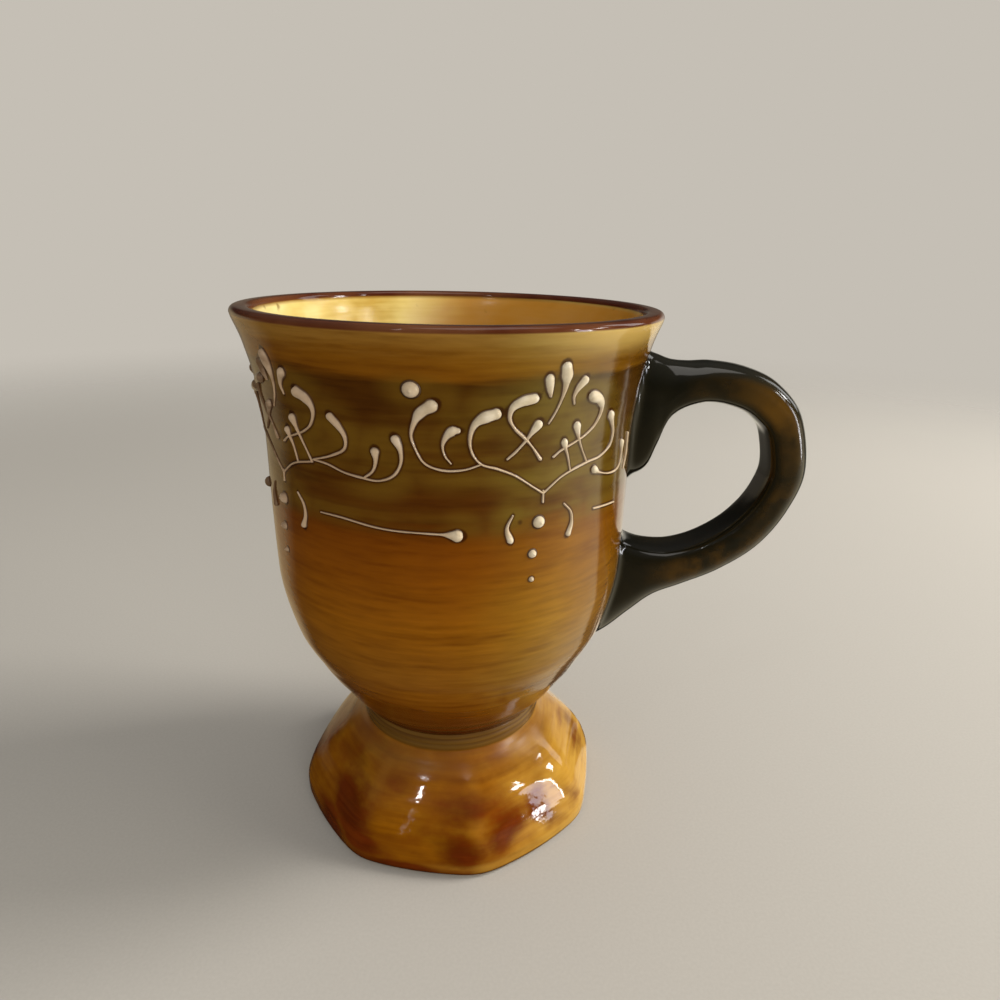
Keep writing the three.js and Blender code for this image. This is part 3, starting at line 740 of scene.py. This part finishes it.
def through(points, at):
    """A Catmull-Rom curve through the points, whose first two columns space them by the root of their
    distance. at counts along the points from 0."""
    points = np.array(points, float)
    ends = [2 * points[0] - points[1], 2 * points[-1] - points[-2]]
    all_points = np.concatenate([ends[:1], points, ends[1:]])
    gap = np.sqrt(np.linalg.norm(np.diff(all_points[:, :2], axis=0), axis=1))
    i = np.clip(np.floor(at).astype(int), 0, len(points) - 2)
    t = (at - i)[:, None]
    p0, p1, p2, p3 = (all_points[i + k] for k in range(4))
    g0, g1, g2 = (gap[i + k][:, None] for k in range(3))
    enter = ((p1 - p0) / g0 - (p2 - p0) / (g0 + g1) + (p2 - p1) / g1) * g1
    leave = ((p2 - p1) / g1 - (p3 - p1) / (g1 + g2) + (p3 - p2) / g2) * g1
    square = -3 * p1 + 3 * p2 - 2 * enter - leave
    cube = 2 * p1 - 2 * p2 + enter + leave
    return p1 + enter * t + square * t**2 + cube * t**3


def from_axis(points):
    """How far points are from the bowl's axis."""
    return np.hypot(points[..., 0] - AXIS, points[..., 1])


def handle_rings():
    """A rounded oblong section, softer on its outer side, carried down the strap's path. A point that
    would pass into the bowl stops just under its outer skin, and the clay near the wall spreads in a
    small fillet."""
    at = np.linspace(0, len(STATION_SHARES) - 1, STRAP_RINGS)
    out, up, deep, wide, lean = through(STATION_SHARES, at).T
    forward = AXIS + WAIST_RADIUS + out * HANDLE_REACH
    outer = np.stack([forward, 0 * out, HANDLE_LOW + up * HANDLE_RISE], axis=1)
    blend = smooth(*ROOT_CHANGE, at)
    root = UPPER_ROOT + (LOWER_ROOT - UPPER_ROOT) * blend
    thickness = STRAP_THICKNESS + deep * (root - STRAP_THICKNESS)
    width = STRAP_WIDTH + wide * (ROOT_WIDTH - STRAP_WIDTH)
    across = np.stack([np.cos(np.radians(lean)), 0 * lean, np.sin(np.radians(lean))], axis=1)
    turn = np.linspace(0, 2 * np.pi, STRAP_SIDES, endpoint=False)
    c, d = np.cos(turn), np.sin(turn)
    square = np.where(c > 0, STRAP_OUTER_SQUARE, STRAP_SQUARE)
    soft = (np.abs(c) ** square + np.abs(d) ** square) ** (-1 / square)
    centre = outer + across * thickness[:, None] / 2
    deep_off = -c * soft / 2
    wide_off = -d * soft / 2
    rings = centre[:, None, :] + across[:, None, :] * (thickness[:, None] * deep_off)[:, :, None]
    rings[:, :, 1] += width[:, None] * wide_off
    clear = from_axis(rings) - wall_radius(rings[:, :, 2])
    close = np.clip(1 - clear / ROOT_FILLET, 0, 1)
    spread = FILLET_SPREAD_SHARE * ROOT_FILLET * close**2
    away = rings - centre[:, None, :]
    away[:, :, 0] *= FILLET_OUT_SHARE
    away /= np.linalg.norm(away, axis=2, keepdims=True) + 1e-9
    rings += away * spread[:, :, None]
    push = np.maximum((wall_radius(rings[:, :, 2]) - ROOT_SINK) / from_axis(rings), 1)
    rings[:, :, 0] = AXIS + (rings[:, :, 0] - AXIS) * push
    rings[:, :, 1] *= push
    return rings, at, c * soft, d * soft


rings, strap_at, strap_deep, strap_side = handle_rings()
handle = shell("pulled_handle", rings)
flank = smooth(0.75, 0.98, np.abs(strap_side)) * smooth(0.8, 0.3, np.abs(strap_deep))
run = sum(much * np.exp(-(((strap_at - station) / spread) ** 2)) for station, spread, much in THIN_PLACES)
mark(handle, "thin", (run[:, None] * flank[None, :]).ravel())

shade, surface, handle_glaze = finish("dark_olive_glaze")
cloud = shade.noise((70, 70, 70), 3, 4.0)
fine = shade.noise((260, 260, 260), 3, 9.0)
thin = shade.attribute("thin")
olive = cloud.ramp([0.3, paint(20, 19, 10)], [0.55, paint(27, 24, 12)], [0.75, paint(38, 32, 14)])
broken = thin * (cloud * 2.2 + fine * 1.1 - 1.15).rise(0.1, 0.95)
olive = olive.toward(broken * 0.9, paint(94, 64, 15))
bump = shade.node("Bump", inputs={"Strength": 0.2, "Distance": 0.0004, "Height": cloud + fine * 0.2})
feed(shade, surface, Base_Color=olive, Roughness=0.08 + cloud * 0.08, Normal=bump, Specular_IOR_Level=0.5)
handle.data.materials.append(handle_glaze)
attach(handle, "root")
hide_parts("handle")

# The ornament is trailed over the glaze in thick cream slip from a fine nozzle: thin stems that end in
# full drops, in four repeats round the bowl. Each trail stands up as a rounded bead, and the glaze around
# it has drawn back into a dark line, also darkened as painted shade at the trail's foot.
ORNAMENT_HEIGHT = RIM_HEIGHT - 31.6 * MM
ORNAMENT_RISE = 25 * MM
ORNAMENT_TURN = 50
BLOB_WIDTH = 2.4 * MM
SLIP_PROUD = 1.1 * MM
SLIP_SINK = 0.35 * MM
SLIP_SIDES = 20
SLIP_STEP = 0.3 * MM
FINE_STEPS = 60
GLAZE_FILLET = 0.34 * MM
HALO_REACH = 8 * MM
LEAST_WIDTH = 0.02 * MM
# How full a stem and a drop are drawn against the width that their points give.
STEM_SHARE = 0.55
DROP_SHARE = 0.92
# The unsteady flow of the slip: a share of the width, the length over which its sine goes on by one
# radian, and a shift.
FLOW_WAVES = [[0.05, 1.1 * MM, 1], [0.04, 0.43 * MM, 2.3]]
# How a bead's height falls with its width along a trail and at its ends, and the angles between which
# its oval stands.
ALONG_POWER, END_POWER = 0.7, 0.6
OVAL_ANGLES = (8, 172)
# Half of a bead's root: shares of its width and of its sink; then how far the glaze's fillet widens it
# there, and how much of that is left on the thinnest trail.
ROOT_SHARES = [[-0.42, -1], [0.42, -1], [0.5, -0.05], [0.5, 0.02]]
SKIRT_SHARES = [0, 0, 1, 0.4]
THIN_SKIRT = 0.35
# A drop's rings from its root to its top: shares of its radius, and of its sink where its root lies.
DROP_RING_SHARES = [0.6, 0.9, 1, 1, 1, 0.985, 0.95, 0.89, 0.8, 0.68, 0.54, 0.4, 0.27, 0.16, 0.07]
DROP_ROOT_SHARES = [-1, -1, -0.05, 0.02]
DROP_LIFT_SHARE = 0.1
DROP_LEAN_SHARE = 0.1
DROP_SIDES = 28
PEAK_SHARE = 0.2
PEAK_SPREAD_SHARE = 0.16
# Points of a trail: shares of the ornament's turn, of its rise and of a full blob's width.
TRAILS = {
    "left_arm": [
        [0, 0, 0.26], [-0.06, 0.06, 0.24], [-0.17, 0.17, 0.22], [-0.26, 0.23, 0.32], [-0.34, 0.27, 0.24],
        [-0.385, 0.35, 0.3], [-0.4, 0.46, 0.42], [-0.38, 0.57, 0.7], [-0.34, 0.62, 0.95],
        [-0.28, 0.65, 0.9],
    ],
    "big_curl": [
        [-0.34, 0.27, 0.24], [-0.43, 0.23, 0.24], [-0.54, 0.23, 0.3], [-0.62, 0.28, 0.26],
        [-0.66, 0.38, 0.28], [-0.68, 0.49, 0.38], [-0.66, 0.59, 0.66], [-0.63, 0.66, 0.9],
        [-0.58, 0.71, 1],
    ],
    "point": [
        [0, 0.02, 0.28], [0, -0.07, 0.34],
    ],
    "right_arm": [
        [0, 0, 0.26], [0.1, 0.1, 0.24], [0.17, 0.14, 0.26], [0.29, 0.18, 0.32], [0.41, 0.2, 0.28],
        [0.5, 0.27, 0.34], [0.51, 0.37, 0.42], [0.48, 0.46, 0.62], [0.45, 0.53, 0.84],
    ],
    "upper_stem": [
        [0.29, 0.18, 0.3], [0.23, 0.33, 0.26], [0.2, 0.42, 0.52], [0.18, 0.5, 0.86],
    ],
    "lower_stem": [
        [0.17, 0.14, 0.24], [0.14, 0.28, 0.32], [0.12, 0.34, 0.56], [0.11, 0.385, 0.8],
    ],
    "hook": [
        [0.26, 0.72, 0.95], [0.32, 0.68, 0.9], [0.35, 0.6, 0.6], [0.32, 0.49, 0.36], [0.26, 0.42, 0.3],
        [0.18, 0.37, 0.26], [0.09, 0.32, 0.3], [0.05, 0.28, 0.34],
    ],
    "vine": [
        [0.3, 0.2, 0.28], [0.4, 0.19, 0.24], [0.5, 0.15, 0.24], [0.6, 0.13, 0.3], [0.7, 0.12, 0.26],
        [0.78, 0.17, 0.34], [0.82, 0.27, 0.42], [0.82, 0.38, 0.62], [0.8, 0.45, 0.84],
    ],
    "short_branch": [
        [0.62, 0.13, 0.26], [0.67, 0.19, 0.36], [0.69, 0.27, 0.56], [0.69, 0.345, 0.8],
    ],
    "tall_branch": [
        [0.3, 0.2, 0.26], [0.44, 0.27, 0.34], [0.52, 0.34, 0.42], [0.53, 0.43, 0.56], [0.5, 0.51, 0.72],
        [0.46, 0.57, 0.84],
    ],
    "small_curl": [
        [-0.49, 0.28, 0.2], [-0.52, 0.34, 0.24], [-0.53, 0.42, 0.36], [-0.51, 0.49, 0.7],
        [-0.48, 0.53, 0.85], [-0.46, 0.53, 0.7],
    ],
    "swan": [
        [-0.1, 0.75, 0.92], [-0.16, 0.73, 0.85], [-0.2, 0.69, 0.7], [-0.21, 0.61, 0.5],
        [-0.18, 0.53, 0.36], [-0.13, 0.46, 0.42], [-0.08, 0.38, 0.26], [-0.03, 0.28, 0.5],
    ],
    "cross": [
        [-0.06, 0.55, 0.85], [-0.09, 0.49, 0.6], [-0.12, 0.43, 0.38], [-0.17, 0.35, 0.32],
        [-0.21, 0.3, 0.28],
    ],
    "tall_drop": [
        [0.05, 0.965, 0.95], [0.06, 0.91, 1], [0.065, 0.84, 0.7], [0.06, 0.75, 0.4], [0.035, 0.64, 0.28],
        [0, 0.55, 0.22],
    ],
    "short_drop": [
        [-0.03, 0.89, 0.85], [-0.02, 0.82, 0.75], [-0.01, 0.76, 0.36],
    ],
    "leaning_drop": [
        [0.175, 0.855, 0.84], [0.145, 0.8, 0.66], [0.13, 0.74, 0.42], [0.14, 0.68, 0.26],
    ],
    "left_comma": [
        [-0.17, -0.15, 0.24], [-0.2, -0.25, 0.5], [-0.18, -0.35, 0.74],
    ],
    "right_comma": [
        [0.14, -0.12, 0.24], [0.19, -0.2, 0.34], [0.2, -0.29, 0.52], [0.18, -0.38, 0.74],
    ],
    "tail": [
        [-1.23, -0.22, 0.2], [-1.09, -0.22, 0.24], [-0.84, -0.26, 0.22], [-0.62, -0.27, 0.24],
        [-0.52, -0.277, 0.5], [-0.465, -0.285, 1.15],
    ],
    "sprig": [
        [0.36, 0.1, 0.84], [0.41, 0.06, 0.4], [0.55, 0.01, 0.3], [0.65, 0.03, 0.28], [0.68, 0.13, 0.32],
        [0.66, 0.24, 0.72],
    ],
    "spike": [
        [0.75, -0.03, 0.24], [0.79, 0.11, 0.32], [0.77, 0.28, 0.46],
    ],
    "dash": [
        [0.38, -0.24, 0.32], [0.62, -0.28, 0.26],
    ],
}
VINE_START = 4
DOT = [-0.67, 0.825, 1.2]
PENDANTS = [[-0.02, -0.23, 1], [-0.05, -0.49, 0.68], [-0.05, -0.71, 0.42]]
PLACES = [
    {"name": "front", "turn": 31.4, "stretch": 1, "vine": False, "tail": True, "sprig": True},
    {"name": "left", "turn": -46.5, "stretch": 1, "vine": True, "tail": True, "sprig": False},
    {"name": "back", "turn": -132, "stretch": 1.03, "vine": False, "tail": True, "sprig": False},
    {"name": "right", "turn": 140, "stretch": 0.96, "vine": True, "tail": False, "sprig": False},
]


def on_wall(arc, height, off):
    """A point at an arc length round the waist and a height, standing off the bowl square to its wall."""
    lean = wall_lean(height)
    radius = wall_radius(height) + off * np.cos(lean)
    return around(np.degrees(arc / WAIST_RADIUS), radius, height - off * np.sin(lean))


def chord(share):
    """Half the chord of a circle at a share of its radius in from its edge; 1 from the middle on."""
    return np.sqrt(1 - (1 - np.clip(share, 0, 1)) ** 2)


def trail(shares, place, seed):
    """The middle line of a trail as rows of arc, height and width, a short step apart, with round
    ends: near an end the width falls as the chord of a circle."""
    shares = np.array(shares, float)
    arc = np.radians(place["turn"] + shares[:, 0] * ORNAMENT_TURN * place["stretch"]) * WAIST_RADIUS
    height = ORNAMENT_HEIGHT + shares[:, 1] * ORNAMENT_RISE
    fullness = STEM_SHARE + (DROP_SHARE - STEM_SHARE) * smooth(0.5, 1, shares[:, 2])
    width = shares[:, 2] * BLOB_WIDTH * fullness
    at = np.linspace(0, len(shares) - 1, FINE_STEPS * len(shares))
    line = through(np.stack([arc, height, width], axis=1), at)
    first, last = line[0, 2] / 2, line[-1, 2] / 2
    tips = []
    for tip, before in (line[0], line[3]), (line[-1], line[-4]):
        way = tip[:2] - before[:2]
        tips.append([np.append(tip[:2] + way / np.linalg.norm(way) * (tip[2] / 2), tip[2])])
    line = np.concatenate([tips[0], line, tips[1]])
    run = np.append(0, np.cumsum(np.linalg.norm(np.diff(line[:, :2], axis=0), axis=1)))
    steps = max(6, int((run[-1] - first - last) / SLIP_STEP))
    curve = 1 - np.cos(np.linspace(0, np.pi / 2, 9))
    s = np.concatenate([
        first * curve[:-1], np.linspace(first, run[-1] - last, steps), run[-1] - last * curve[-2::-1],
    ])
    line = np.stack([np.interp(s, run, line[:, k]) for k in range(3)], axis=1)
    wobble = 1 + sum(much * np.sin(s / length + shift * seed) for much, length, shift in FLOW_WAVES)
    full = line[:, 2] * wobble
    width = full * chord(s / first) * chord((run[-1] - s) / last)
    return line[:, 0], line[:, 1], full, np.maximum(width, LEAST_WIDTH)


def bead(shares, place, seed):
    """A trail as rings: half an oval stands off the wall between two low fillets of glaze, and a flat
    root sinks into the wall."""
    arc, height, full, width = trail(shares, place, seed)
    way = np.stack([np.gradient(arc), np.gradient(height)], axis=1)
    way /= np.linalg.norm(way, axis=1, keepdims=True)
    proud = SLIP_PROUD * (full / BLOB_WIDTH) ** ALONG_POWER * (width / full) ** END_POWER
    bend = np.radians(np.linspace(*OVAL_ANGLES, SLIP_SIDES - 6))
    root, skirt = np.array(ROOT_SHARES), np.array(SKIRT_SHARES)
    out = np.concatenate([root[:, 0], np.cos(bend) / 2, -root[:1:-1, 0]])
    up = np.concatenate([[0, 0, 0, 0], np.sin(bend), [0, 0]])
    sink = np.concatenate([root[:, 1], 0 * bend, root[:1:-1, 1]]) * SLIP_SINK
    skirt = np.concatenate([skirt, 0 * bend, -skirt[:1:-1]]) * GLAZE_FILLET
    off = width[:, None] * out + skirt * (THIN_SKIRT + (1 - THIN_SKIRT) * full / BLOB_WIDTH)[:, None]
    rise = proud[:, None] * up + sink
    points = on_wall(arc[:, None] - way[:, 1:] * off, height[:, None] + way[:, :1] * off, rise)
    low = np.where(up > 0, 1 - up, 1) + 0 * off
    return points, low, (full / BLOB_WIDTH)[:, None] + 0 * off, np.stack([arc, height, width / 2], axis=1)


def drop(shares, place):
    """A single drop as rings about its middle: a low dome that ends in the small peak the nozzle
    leaves."""
    arc = np.radians(place["turn"] + shares[0] * ORNAMENT_TURN * place["stretch"]) * WAIST_RADIUS
    height = ORNAMENT_HEIGHT + shares[1] * ORNAMENT_RISE
    radius = shares[2] * BLOB_WIDTH / 2
    proud = SLIP_PROUD * np.sqrt(shares[2])
    share = np.array(DROP_RING_SHARES)[:, None]
    dome_rings = len(share) - len(SKIRT_SHARES)
    skirt = np.array(SKIRT_SHARES + [0] * dome_rings)[:, None] * GLAZE_FILLET
    dome = np.sqrt(1 - share**2) + PEAK_SHARE * np.exp(-((share / PEAK_SPREAD_SHARE) ** 2))
    sink = np.array(DROP_ROOT_SHARES + [DROP_LIFT_SHARE] * dome_rings)[:, None] * SLIP_SINK
    up = proud * dome + sink
    share = share + skirt / radius
    turn = np.linspace(0, 2 * np.pi, DROP_SIDES, endpoint=False)[None, :]
    lean = DROP_LEAN_SHARE * radius * np.maximum(0, up / proud)
    points = on_wall(
        arc + radius * share * np.cos(turn), height + radius * share * np.sin(turn) + lean, up + 0 * turn
    )
    in_root = np.arange(len(share))[:, None] < len(SKIRT_SHARES)
    low = np.where(in_root, 1, 1 - np.clip(dome, 0, 1) ** 0.8 - 0.08) + 0 * turn
    return points, low, shares[2] + 0 * (share + turn), np.array([[arc, height, radius]])


def slip_piece(name, node, parts):
    """One piece of slip from its beads or drops, joined into a single mesh, with how low each point
    lies on the wall and how thick the slip is there. The middle points of a bead's two ends are low,
    and of a drop's two the second is its top."""
    objects = [shell(name, part[0]) for part in parts]
    for piece, (_, low, thick, _) in zip(objects, parts):
        is_drop = len(low) == len(DROP_RING_SHARES)
        mark(piece, "low", np.append(low.ravel(), [1, 0] if is_drop else [1, 1]))
        mark(piece, "thick", np.append(thick.ravel(), [thick.flat[0]] * 2))
    if len(objects) > 1:
        with bpy.context.temp_override(active_object=objects[0], selected_editable_objects=objects):
            bpy.ops.object.join()
    piece = objects[0]
    piece.name = name
    piece.data.materials.clear()
    piece.data.materials.append(cream_slip)
    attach(piece, "root")
    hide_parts(node)
    for part in parts:
        slip_lines.append(part[3])


def beads(place, seed, names):
    """The rings of some of a repeat's trails. On a repeat with a vine the right arm ends where the
    vine starts."""
    made = []
    for k, name in enumerate(names):
        points = TRAILS[name]
        if name == "right_arm" and place["vine"]:
            points = points[:VINE_START]
        made.append(bead(points, place, seed + 1.7 * k + len(name)))
    return made


# Where each change of the slip's colour and of its painted shade starts and ends: distances across the
# mug towards the handle,
SHADED_ACROSS = (24, -22)
FAR_SHADE_ACROSS = (-29, -35)
# the width of a stem against a full drop's, and how low a point lies on the wall.
THIN_STEM = (0.6, 0.22)
ROOT_LOW = (0.66, 0.97)

shade, surface, cream_slip = finish("cream_slip")
mottle = shade.noise((500, 500, 500), 3, 6.0)
low = shade.attribute("low")
thick = shade.attribute("thick")
cream = mottle.ramp(
    [0.3, paint(206, 190, 160)], [0.5, paint(220, 206, 178)], [0.7, paint(230, 218, 194)],
)
across = (shade.node("TexCoord", output=3).part(0) - AXIS) / MM
cream = cream.toward(across.rise(*SHADED_ACROSS) * 0.75, paint(174, 142, 112))
cream = cream.toward(thick.rise(*THIN_STEM) * 0.5, paint(180, 148, 114))
# On the side away from the window, near the bowl's edge, the slip is darkened as painted shade.
cream = cream.toward((across + (mottle - 0.5) * 8).rise(*FAR_SHADE_ACROSS) * 0.8, paint(84, 54, 26))
# The root of each bead is darkened: a dark line of glaze, and painted shade where the bead meets the wall.
cream = cream.toward(low.rise(*ROOT_LOW) * 0.9, paint(66, 36, 12))
bump = shade.node("Bump", inputs={"Strength": 0.15, "Distance": 0.0002, "Height": mottle})
feed(shade, surface, Base_Color=cream, Roughness=0.08 + mottle * 0.1, Normal=bump, Specular_IOR_Level=0.45)

slip_lines = []
TRUNK = ["left_arm", "big_curl", "point", "upper_stem", "lower_stem", "hook"]
VINE = ["right_arm", "vine", "short_branch", "tall_branch"]
for index, place in enumerate(PLACES):
    word = place["name"]
    trails = {
        f"scroll_{word}": TRUNK + (VINE if place["vine"] else ["right_arm"]),
        f"curl_{word}": ["small_curl"],
        f"swan_{word}": ["swan", "cross"],
    }
    trails.update({f"{kind}_{word}": [kind] for kind in ("tall_drop", "short_drop", "leaning_drop")})
    for node, names in trails.items():
        slip_piece(f"trail_{node}", node, beads(place, index, names))
    slip_piece(f"slip_dot_{word}", f"dot_{word}", [drop(DOT, place)])
    for k, name in enumerate(["left_comma", "right_comma"], 1):
        slip_piece(f"trail_comma_{word}_{k}", f"comma_{word}_{k}", beads(place, index, [name]))
    for k, shares in enumerate(PENDANTS, 1):
        slip_piece(f"slip_pendant_{word}_{k}", f"pendant_{word}_{k}", [drop(shares, place)])
    extras = ["tail"] * place["tail"] + ["sprig", "spike", "dash"] * place["sprig"]
    for name in extras:
        slip_piece(f"trail_{name}_{word}", f"{name}_{word}", beads(place, index, [name]))


# A trail's middle line is held against the wall a stretch of points at a time, which saves memory.
POINTS_AT_ONCE = 40


def slip_distance():
    """How far each point of the bowl's outside is from the edge of the nearest slip, in millimetres,
    by the nearest middle line less half its width."""
    distance = np.full(bowl_side.shape + (AROUND,), HALO_REACH)
    rows = np.flatnonzero(bowl_side == 1)
    arcs = np.radians(bowl_turn[0]) * WAIST_RADIUS
    heights = bowl_height[rows, 0]
    whole = 2 * np.pi * WAIST_RADIUS
    for line in slip_lines:
        centre = line[:, 0].mean()
        arc = (arcs - centre + whole / 2) % whole - whole / 2 + centre
        half = np.abs(line[:, 0] - centre).max() + HALO_REACH
        columns = np.flatnonzero(np.abs(arc - centre) < half)
        near_rows = np.flatnonzero(
            (heights > line[:, 1].min() - HALO_REACH) & (heights < line[:, 1].max() + HALO_REACH)
        )
        for start in range(0, len(line), POINTS_AT_ONCE):
            part = line[start : start + POINTS_AT_ONCE]
            away = np.hypot(
                arc[columns][None, :, None] - part[None, None, :, 0],
                heights[near_rows][:, None, None] - part[None, None, :, 1],
            )
            least = (away - part[None, None, :, 2]).min(axis=2)
            block = np.ix_(rows[near_rows], columns)
            distance[block] = np.minimum(distance[block], least)
    return distance / MM


mark(bowl, "reach", slip_distance().ravel())

# The table is a plain pale sheet that fades into the studio's backdrop. A soft window lights the mug from
# the right and a little behind, and the room fills in the rest. The glaze mirrors panes of that window, a
# lamp and a strip by the camera, the ceiling over the mug, and the room, which is brighter in some
# directions.
TABLE_RADIUS = 3
TABLE_FADE = (0.95, 0.35)
BACKDROP = paint(197, 191, 181)
LOW_SKY = (0.02, 0.02, 0.02, 1)
HIGH_SKY = (0.14, 0.14, 0.14, 1)
ROOM_FILL = (0.45, 0.44, 0.42, 1)
# The brightness of the room that the glaze mirrors: turns in degrees round the mug and the colour at them.
MIRRORED_ROOM = [
    [(-180,), (0.13, 0.12, 0.1, 1)],
    [(-150,), (0.2, 0.17, 0.13, 1)],
    [(-136, -112), (0.5, 0.4, 0.24, 1)],
    [(-98, 18), (0.03, 0.03, 0.03, 1)],
    [(48,), (0.22, 0.19, 0.13, 1)],
    [(85, 105), (0.85, 0.78, 0.6, 1)],
    [(107, 122.5), (0.05, 0.05, 0.05, 1)],
    [(124.5,), (0.8, 0.78, 0.7, 1)],
    [(126.5, 130), (0.05, 0.05, 0.05, 1)],
    [(134, 152), (0.8, 0.76, 0.66, 1)],
    [(168,), (0.13, 0.12, 0.1, 1)],
]


def room_brightness(way):
    """The colour that the glaze mirrors from a way off the bowl's axis, by its turn round the axis."""
    turn = way.sum("ARCTAN2", way.part(0), 0 - way.part(1)) / math.tau + 0.5
    return turn.ramp(*[[at / 360 + 0.5, colour] for turns, colour in MIRRORED_ROOM for at in turns])


bpy.ops.mesh.primitive_circle_add(vertices=96, radius=TABLE_RADIUS, fill_type="NGON")
table = bpy.context.object
table.name = "table"
shade, surface, table_finish = finish("pale_table")
place = shade.node("TexCoord", output=3)
away = shade.node("VectorMath", {"operation": "LENGTH"}, {0: place}, 1)
grain = shade.noise((1400, 1400, 1400), 2)
tone = grain.ramp([0.3, paint(187, 183, 176)], [0.7, paint(191, 187, 180)])
mirrored = shade.node("LightPath", output=3)
off_axis = shade.node("VectorMath", {"operation": "SUBTRACT"}, {0: place, 1: (AXIS, 0, 0)})
tone = tone.toward(mirrored, room_brightness(off_axis))
feed(shade, surface, Base_Color=tone, Roughness=0.9, Specular_IOR_Level=0.1, Alpha=away.rise(*TABLE_FADE))
table.data.materials.append(table_finish)


LAMP_AIM = 60 * MM
WARM = (1, 0.96, 0.9)
WARMER = (1, 0.94, 0.82)
CREAM = (1, 0.97, 0.92)
WHITE = (1, 1, 1)
COOL = (0.86, 0.89, 1)
# A lamp's turn and angle above the table in degrees, distance, width and height in metres, watts and
# colour.
SOFT_LIGHTS = {
    "window": [103, 38, 1.1, (0.34, 0.42), 8.5, WARM],
    "side_fill": [86, 12, 1.3, (0.7, 0.4), 7, WARMER],
    "front_fill": [25, 14, 1.4, (0.9, 0.9), 7, CREAM],
}
OVER_CAMERA = [-24, 46, 1.2, (0.01, 0.04), 0.2, WHITE]
MIRRORED_LIGHTS = {
    "camera_strip": [-20, 20, 1.2, (0.005, 0.6), 0.06, WHITE],
    "soft_pane": [116, 28, 1.1, (0.26, 0.6), 1.3, WHITE],
    "ceiling": [60, 78, 1.2, (1.0, 0.6), 3, WARM],
    "high_pane": [91, 28.5, 1.0, (0.11, 0.06), 0.7, WHITE],
    "pane_top": [72, 29, 0.6, (0.022, 0.05), 0.14, WHITE],
    "low_pane": [72.5, 9, 0.6, (0.058, 0.28), 0.42, COOL],
    "pane_left_edge": [69, 1, 0.6, (0.008, 0.06), 0.06, WHITE],
    "pane_right_edge": [76.4, 9, 0.6, (0.012, 0.28), 0.4, WHITE],
}


def spin(degrees, axis):
    """A turn about an axis by an angle in degrees, as a matrix."""
    return Matrix.Rotation(math.radians(degrees), 4, axis)


def lamp(name, turn, rise, away, size, power, colour, soft=True, mirrored=True):
    """A flat rectangular light that faces the mug from a turn, an angle above the table and a
    distance, its second side upright. A soft one lights the glaze, and a mirrored one shows in its
    gloss."""
    data = bpy.data.lights.new(name, "AREA")
    data.shape = "RECTANGLE"
    data.size, data.size_y = size
    data.energy = power
    data.color = colour
    made = bpy.data.objects.new(name, data)
    stand = spin(turn, "Z") @ spin(90 - rise, "X") @ Matrix.Translation((0, 0, away))
    made.matrix_world = Matrix.Translation((AXIS, 0, LAMP_AIM)) @ stand
    made.visible_camera = False
    made.visible_diffuse = soft
    made.visible_glossy = mirrored
    bpy.context.scene.collection.objects.link(made)


for name, settings in SOFT_LIGHTS.items():
    lamp(name, *settings, mirrored=False)
lamp("over_camera", *OVER_CAMERA)
for name, settings in MIRRORED_LIGHTS.items():
    lamp(name, *settings, soft=False)

world = bpy.data.worlds.new("studio")
bpy.context.scene.world = world
world.use_nodes = True
world.node_tree.nodes.clear()
shade = Shade(world.node_tree)
way = shade.node("TexCoord", output=0)
up = way.part(2)
seen = shade.node("LightPath", output=0)
mirrored = shade.node("LightPath", output=3)
sky = shade.node("Mix", {"data_type": "RGBA"}, {0: up.rise(0.2, 0.9), 6: LOW_SKY, 7: HIGH_SKY}, 2)
room = sky.toward(up.rise(0.2, 0.02), room_brightness(way))
fill = shade.node("Mix", {"data_type": "RGBA"}, {0: mirrored, 6: ROOM_FILL, 7: room}, 2)
air = fill.toward(seen, BACKDROP)
light = shade.node("Background", inputs={"Color": air, "Strength": 1.0})
shade.node("OutputWorld", inputs={"Surface": light})

# The camera stands a little over the rim's height, close in front, and looks down on the mug.
CAMERA_AWAY = 162.9 * MM
CAMERA_HEIGHT = 139.4 * MM
# Angles in degrees: its turn round the mug, then how far it looks down, looks right and rolls.
CAMERA_TURN = 7
LOOK_DOWN = 19.95
LOOK_RIGHT = 4.22
ROLL = 1.33
# The lens and the sensor's width in millimetres, and the nearest point that it sees.
LENS = 25.2
SENSOR = 36
NEAREST = 10 * MM

camera_data = bpy.data.cameras.new("camera")
camera_data.lens = LENS
camera_data.sensor_width = SENSOR
camera_data.clip_start = NEAREST
camera = bpy.data.objects.new("camera", camera_data)
stand = Matrix.Translation((AXIS, 0, 0)) @ spin(CAMERA_TURN, "Z")
stand = stand @ Matrix.Translation((0, -CAMERA_AWAY, CAMERA_HEIGHT))
camera.matrix_world = stand @ spin(-LOOK_RIGHT, "Z") @ spin(90 - LOOK_DOWN, "X") @ spin(ROLL, "Z")
bpy.context.scene.collection.objects.link(camera)
bpy.context.scene.camera = camera
bpy.context.scene.view_settings.view_transform = "Standard"
